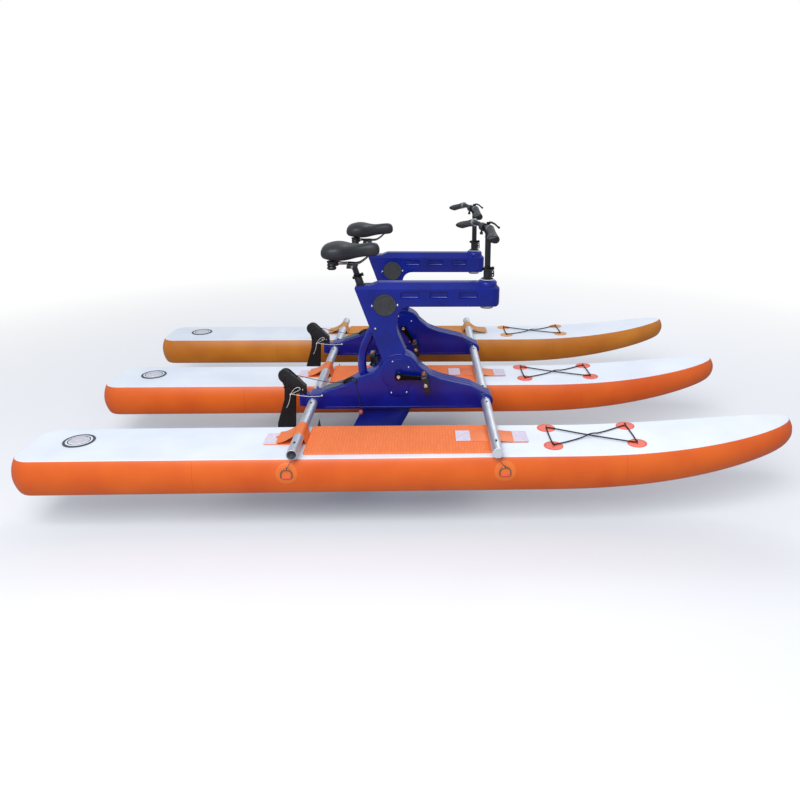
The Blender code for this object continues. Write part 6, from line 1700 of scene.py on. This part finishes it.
def grip_piece(out):
    """Shaped grip: a cylinder with loops along it, drawn out behind its outer end."""
    start, end = bar_point(grip_from, out), bar_point(bar_half, out)
    along = (end - start).normalized()
    behind = Vector((0, 0, 1)).cross(along).normalized()
    if behind.x > 0:
        behind = -behind
    up = along.cross(behind).normalized()
    if up.z < 0:
        up = -up
    deselect()
    bpy.ops.mesh.primitive_cylinder_add(vertices=40, radius=1, depth=2, end_fill_type="NGON")
    grip = bpy.context.object
    loops = [-0.96, -0.9] + [-0.8 + 0.1 * step for step in range(17)] + [0.86, 0.92, 0.96, 0.985]
    cut_loops(grip, 2, loops)
    grip.data.materials.append(grip_rubber)
    grip.data.materials.append(nylon_black)
    for vert in grip.data.vertices:
        a, b, c = vert.co
        share = (c + 1) / 2
        swell = 1.02 + 0.05 * math.cos(2 * math.pi * share)
        if share > 0.955:
            swell *= math.sqrt(max(0.15, 1 - ((share - 0.955) / 0.052) ** 2))
        wing = 1.1 / (1 + math.exp(-(share - 0.60) / 0.075))
        angle = math.atan2(b, a)
        stretch = 1 + wing * max(0.0, math.cos(angle)) ** 1.2
        offset = behind * (math.cos(angle) * swell * stretch) + up * (math.sin(angle) * swell)
        vert.co = start.lerp(end, share) + offset * grip_thick
    for face in grip.data.polygons:
        # The palm end is of harder, smooth rubber
        face.material_index = 1 if (face.center - start).dot(along) > 0.80 * (end - start).length else 0
    tidy_mesh(grip, 1e-6)
    smooth(60)
    ring = [(bar_thin, 0), (0.0176, 0), (0.0182, 0.0008), (0.0182, 0.0062), (0.0176, 0.0070),
            (bar_thin, 0.0070)]
    ring = turned_piece("ring", ring, start - along * 0.0068, along, ring_grey, 40)
    bolt = screw_head(start - along * 0.003 + behind * 0.0182, behind, 0.0022)
    return join_all("grip", grip, ring, bolt)


for side, y in sides.items():
    middle = bar_point(0.0, 1)
    low, high = (head_x, 0, 0.711), (head_x, 0, bar_height - 0.024)
    pieces = [round_bar("stem", low, high, 0.0138, post_black, rim=0.001, steps=48)]
    neck = [(head_x, 0, bar_height - 0.050), (head_x + 0.001, 0, bar_height - 0.034),
            (head_x - 0.006, 0, bar_height - 0.016), tuple(middle)]
    pieces.append(swept_bar("neck", neck, 0.0152, post_black))
    clamp = [(bar_thin, -0.024), (0.0180, -0.024), (0.0191, -0.0229), (0.0191, -0.002), (0.0178, -0.001),
             (0.0178, 0.001), (0.0191, 0.002), (0.0191, 0.0229), (0.0180, 0.024), (bar_thin, 0.024)]
    pieces.append(turned_piece("clamp", clamp, middle, (0, 1, 0), nylon_black, 48))
    for across in (-0.014, 0.014):
        for up in (-1, 1):
            pieces.append(screw_head(middle + Vector((0.0186 if up > 0 else 0.0180, across, up * 0.008)),
                                     (1, 0, 0), 0.0028))
    knob = [(0, 0), (0.0060, 0), (0.0075, 0.0012), (0.0075, 0.0105), (0.0062, 0.0120), (0.0045, 0.0125),
            (0.0045, 0.0245), (0, 0.0245)]
    pieces.append(turned_piece("knob", knob, middle - Vector((0.012, 0, 0.034)), (0.002, 0, 0.024),
                               nylon_black, 28))
    reaches = (-0.264, -0.22, -0.17, -0.125, -0.085, -0.04, 0.04, 0.085, 0.125, 0.17, 0.22, 0.264)
    bar_line = [tuple(bar_point(abs(reach), math.copysign(1, reach))) for reach in reaches]
    bar_line.insert(len(bar_line) // 2, tuple(middle))
    pieces.append(swept_bar("bar", bar_line, bar_thin, bar_black))
    pieces += [grip_piece(-1), grip_piece(1)]
    spot = bar_point(0.085, -1)
    along = (bar_point(0.100, -1) - bar_point(0.070, -1)).normalized()
    clip = [(bar_thin, -0.011), (0.0138, -0.011), (0.0146, -0.0102), (0.0146, 0.0102), (0.0138, 0.011),
            (bar_thin, 0.011)]
    pieces.append(turned_piece("clip", clip, spot, along, nylon_black, 40))
    pivot = spot + Vector((0, 0, 0.021))
    pieces.append(round_bar("post", spot, pivot - Vector((0, 0, 0.0064)), 0.0060, nylon_black, rim=0.0005,
                            steps=24))
    bars = steered(join_all(side + "_bar", *pieces), y)
    settle(bars, side + "_bars", "black_polymer", side + "_handlebar")
    hub = round_bar("hub", pivot - Vector((0.008, 0, 0)), pivot + Vector((0.008, 0, 0)), 0.0060,
                    nylon_black, rim=0.0008, steps=28)
    offsets = ((0, 0, 0), (0, -0.015, 0.0045), (0, -0.030, 0.0068), (0, -0.060, 0.0075),
               (0.001, -0.090, 0.0058), (0.003, -0.120, -0.001), (0.004, -0.136, -0.0036))
    blade_line = [pivot + Vector(offset) for offset in offsets]
    handle = cord_curve("handle", [tuple(point) for point in blade_line], 0.0036, crank_black)
    for knot, share in zip(handle.data.splines[0].bezier_points, (1.2, 1.25, 1.3, 1.25, 1.2, 1.1, 1.25)):
        knot.radius = share
    bpy.ops.object.convert(target="MESH")
    tidy_mesh(handle, 1e-6)
    bpy.ops.object.shade_smooth()
    bpy.ops.mesh.primitive_uv_sphere_add(segments=24, ring_count=14, radius=0.0054, location=blade_line[-1])
    tip = bpy.context.object
    bpy.ops.object.shade_smooth()
    tip.data.materials.append(crank_black)
    pin = screw_head(pivot + Vector((0.0078, 0, 0)), (1, 0, 0), 0.0030)
    lever = steered(join_all(side + "_hand_lever", hub, handle, tip, pin), y)
    settle(lever, side + "_brake", "black_polymer", side + "_brake_lever")


# Rudders: a black nylon head with two cheeks on a yaw pin, a raised rib near its edge and
# stainless screws, and a black blade with softened edges that kicks up between the cheeks.

# Moulded polypropylene: black, satin and a little waxy
rudder_black = plain("moulded_polypropylene_black", "101114", 0.40, 30, "0d0e10", "17181b", 0.15, 0.35)
yaw_x, pivot_x, pivot_z, stub_top = -0.548, -0.636, 0.302, 0.214
for side, y in sides.items():
    outline = bow((pivot_x, pivot_z), 0.036, 51.4, 231.4, 28)
    outline += soft_corners([outline[-1] + (0,), (-0.592, stub_top + 0.002, 0.010),
                             (yaw_x + 0.014, stub_top + 0.002, 0.003),
                             (yaw_x + 0.014, stub_top + 0.046, 0.004), outline[0] + (0,)], 5)[1:-1]
    head = moulded_plate("head", outline, -0.013, 0.013, 0.0032, rudder_black)
    gap = [(-0.5775, 0.18), (-0.5775, 0.36), (-0.72, 0.36), (-0.72, 0.18)]
    boolean(head, "DIFFERENCE", moulded_plate("cutter", gap, -0.0067, 0.0067, 0.0, rudder_black))
    tidy_mesh(head, 2e-6)
    smooth(35)
    pieces = [head]
    rib = bow((pivot_x, pivot_z), 0.0285, 51.4, 231.4, 16)
    rib += [(-0.5955, stub_top + 0.0125), (-0.575, stub_top + 0.0095), (yaw_x + 0.0055, stub_top + 0.0095),
            (yaw_x + 0.0060, stub_top + 0.040)]
    for out in (-1, 1):
        line = [(px, out * 0.0128, pz) for px, pz in rib]
        pieces.append(swept_bar("rib", line, 0.0013, rudder_black, closed=True))
        for x in (-0.5470,) if side == "starboard" else (-0.5470, -0.5740):
            pieces.append(screw_head(Vector((x, out * 0.0130, 0.2400)), (0, out, 0), 0.0040))
        nut = [(0, 0), (0.0105, 0), (0.0105, 0.0009), (0.0075, 0.0012), (0.0075, 0.0030), (0.0062, 0.0040),
               (0, 0.0040)]
        pieces.append(turned_piece("axle", nut, (pivot_x, out * 0.0126, pivot_z), (0, out, 0), rudder_black,
                                   32))
    pieces.append(round_bar("axle", (pivot_x, -0.0125, pivot_z), (pivot_x, 0.0125, pivot_z), 0.0045,
                            turned_steel, steps=24))
    pieces.append(round_bar("pin", (yaw_x, 0, stub_top - 0.038), (yaw_x, 0, stub_top + 0.010), 0.0046,
                            turned_steel, steps=24))
    pieces.append(round_bar("washer", (yaw_x, 0, stub_top + 0.0003), (yaw_x, 0, stub_top + 0.0050), 0.0120,
                            screw_steel, rim=0.0005, steps=32))
    # Stop peg behind the cheeks, on the starboard side
    pieces.append(round_bar("peg", (-0.640, -0.0060, 0.2460), (-0.640, -0.0190, 0.2460), 0.0042,
                            rudder_black, rim=0.0006, steps=20))
    yaw = Matrix.Translation((yaw_x, y, 0)) @ Matrix.Rotation(-steer, 4, "Z")
    yaw = yaw @ Matrix.Translation((-yaw_x, 0, 0))
    made = join_all(side + "_rudder_cheeks", *pieces)
    made.matrix_world = yaw
    settle(made, side + "_rudder", "black_polymer", side + "_rudder_head")
    blade = bow((pivot_x, pivot_z), 0.031, 20, 200, 24)
    blade += soft_corners([(-0.665, 0.302, 0.0), (-0.646, 0.240, 0.03), (-0.650, 0.180, 0.05),
                           (-0.693, 0.045, 0.10), (-0.700, -0.170, 0.040), (-0.612, -0.170, 0.050),
                           (-0.597, 0.050, 0.10), (-0.590, 0.180, 0.04), (-0.5835, 0.235, 0.03),
                           (-0.600, 0.290, 0.02)], 10)[1:]
    blade = moulded_plate(side + "_rudder_foil", blade, -0.006, 0.006, 0.0042, rudder_black)
    bore = round_bar("cutter", (pivot_x, -0.1, pivot_z), (pivot_x, 0.1, pivot_z), 0.0050, rudder_black,
                     steps=24)
    boolean(blade, "DIFFERENCE", bore)
    tidy_mesh(blade, 2e-6)
    smooth(35)
    blade.matrix_world = yaw
    settle(blade, side + "_blade", "black_polymer", side + "_rudder_blade")


# Tie strings: 2.4 mm white braided polyester that holds each rudder to a screw on its frame. The
# string is knotted in front of the rudder head, with one loop and a tail.

# Braided polyester: off-white and matt, finer than the black cord
white_braid = braid("braided_polyester_white", "eceae6", 0.8, 1.4)
string_radius = 0.0012
for side, y in sides.items():
    face = y - half_frame
    screw = (-0.452, face - 0.0035, 0.222)
    knot = (-0.6075, y - 0.0240, 0.2205)
    line = [screw, (-0.470, face - 0.0042, 0.2205), (-0.505, y - 0.0525, 0.2190),
            (-0.545, y - 0.0400, 0.2175), (-0.580, y - 0.0295, 0.2185), knot]
    tail = [(-0.6087, y - 0.0245, 0.2180), (-0.6108, y - 0.0250, 0.2050), (-0.6160, y - 0.0250, 0.1830),
            (-0.6235, y - 0.0240, 0.1640), (-0.6310, y - 0.0240, 0.1500)]
    string = swept_bar(side + "_tie_string", line + tail, string_radius, white_braid)
    loop = [knot, (-0.5990, y - 0.0262, 0.2350), (-0.5830, y - 0.0285, 0.2520),
            (-0.5680, y - 0.0290, 0.2575), (-0.5590, y - 0.0290, 0.2510), (-0.5650, y - 0.0300, 0.2430),
            (-0.5810, y - 0.0300, 0.2350), (-0.5975, y - 0.0285, 0.2260), (-0.6060, y - 0.0262, 0.2212)]
    bow_loop = swept_bar("loop", loop, string_radius, white_braid)
    bpy.ops.mesh.primitive_torus_add(major_segments=24, minor_segments=12, major_radius=0.0024,
                                     minor_radius=0.0016, location=(knot[0], knot[1] - 0.0004, knot[2]),
                                     rotation=(math.pi / 2, 0.5, 0))
    wrap = bpy.context.object
    place_in_mesh(wrap)
    bpy.ops.object.shade_smooth()
    wrap.data.materials.append(white_braid)
    tied = join_all(side + "_tie_bow", bow_loop, wrap)
    settle(tied, side + "_rudder", "black_cord")
    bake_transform(string)
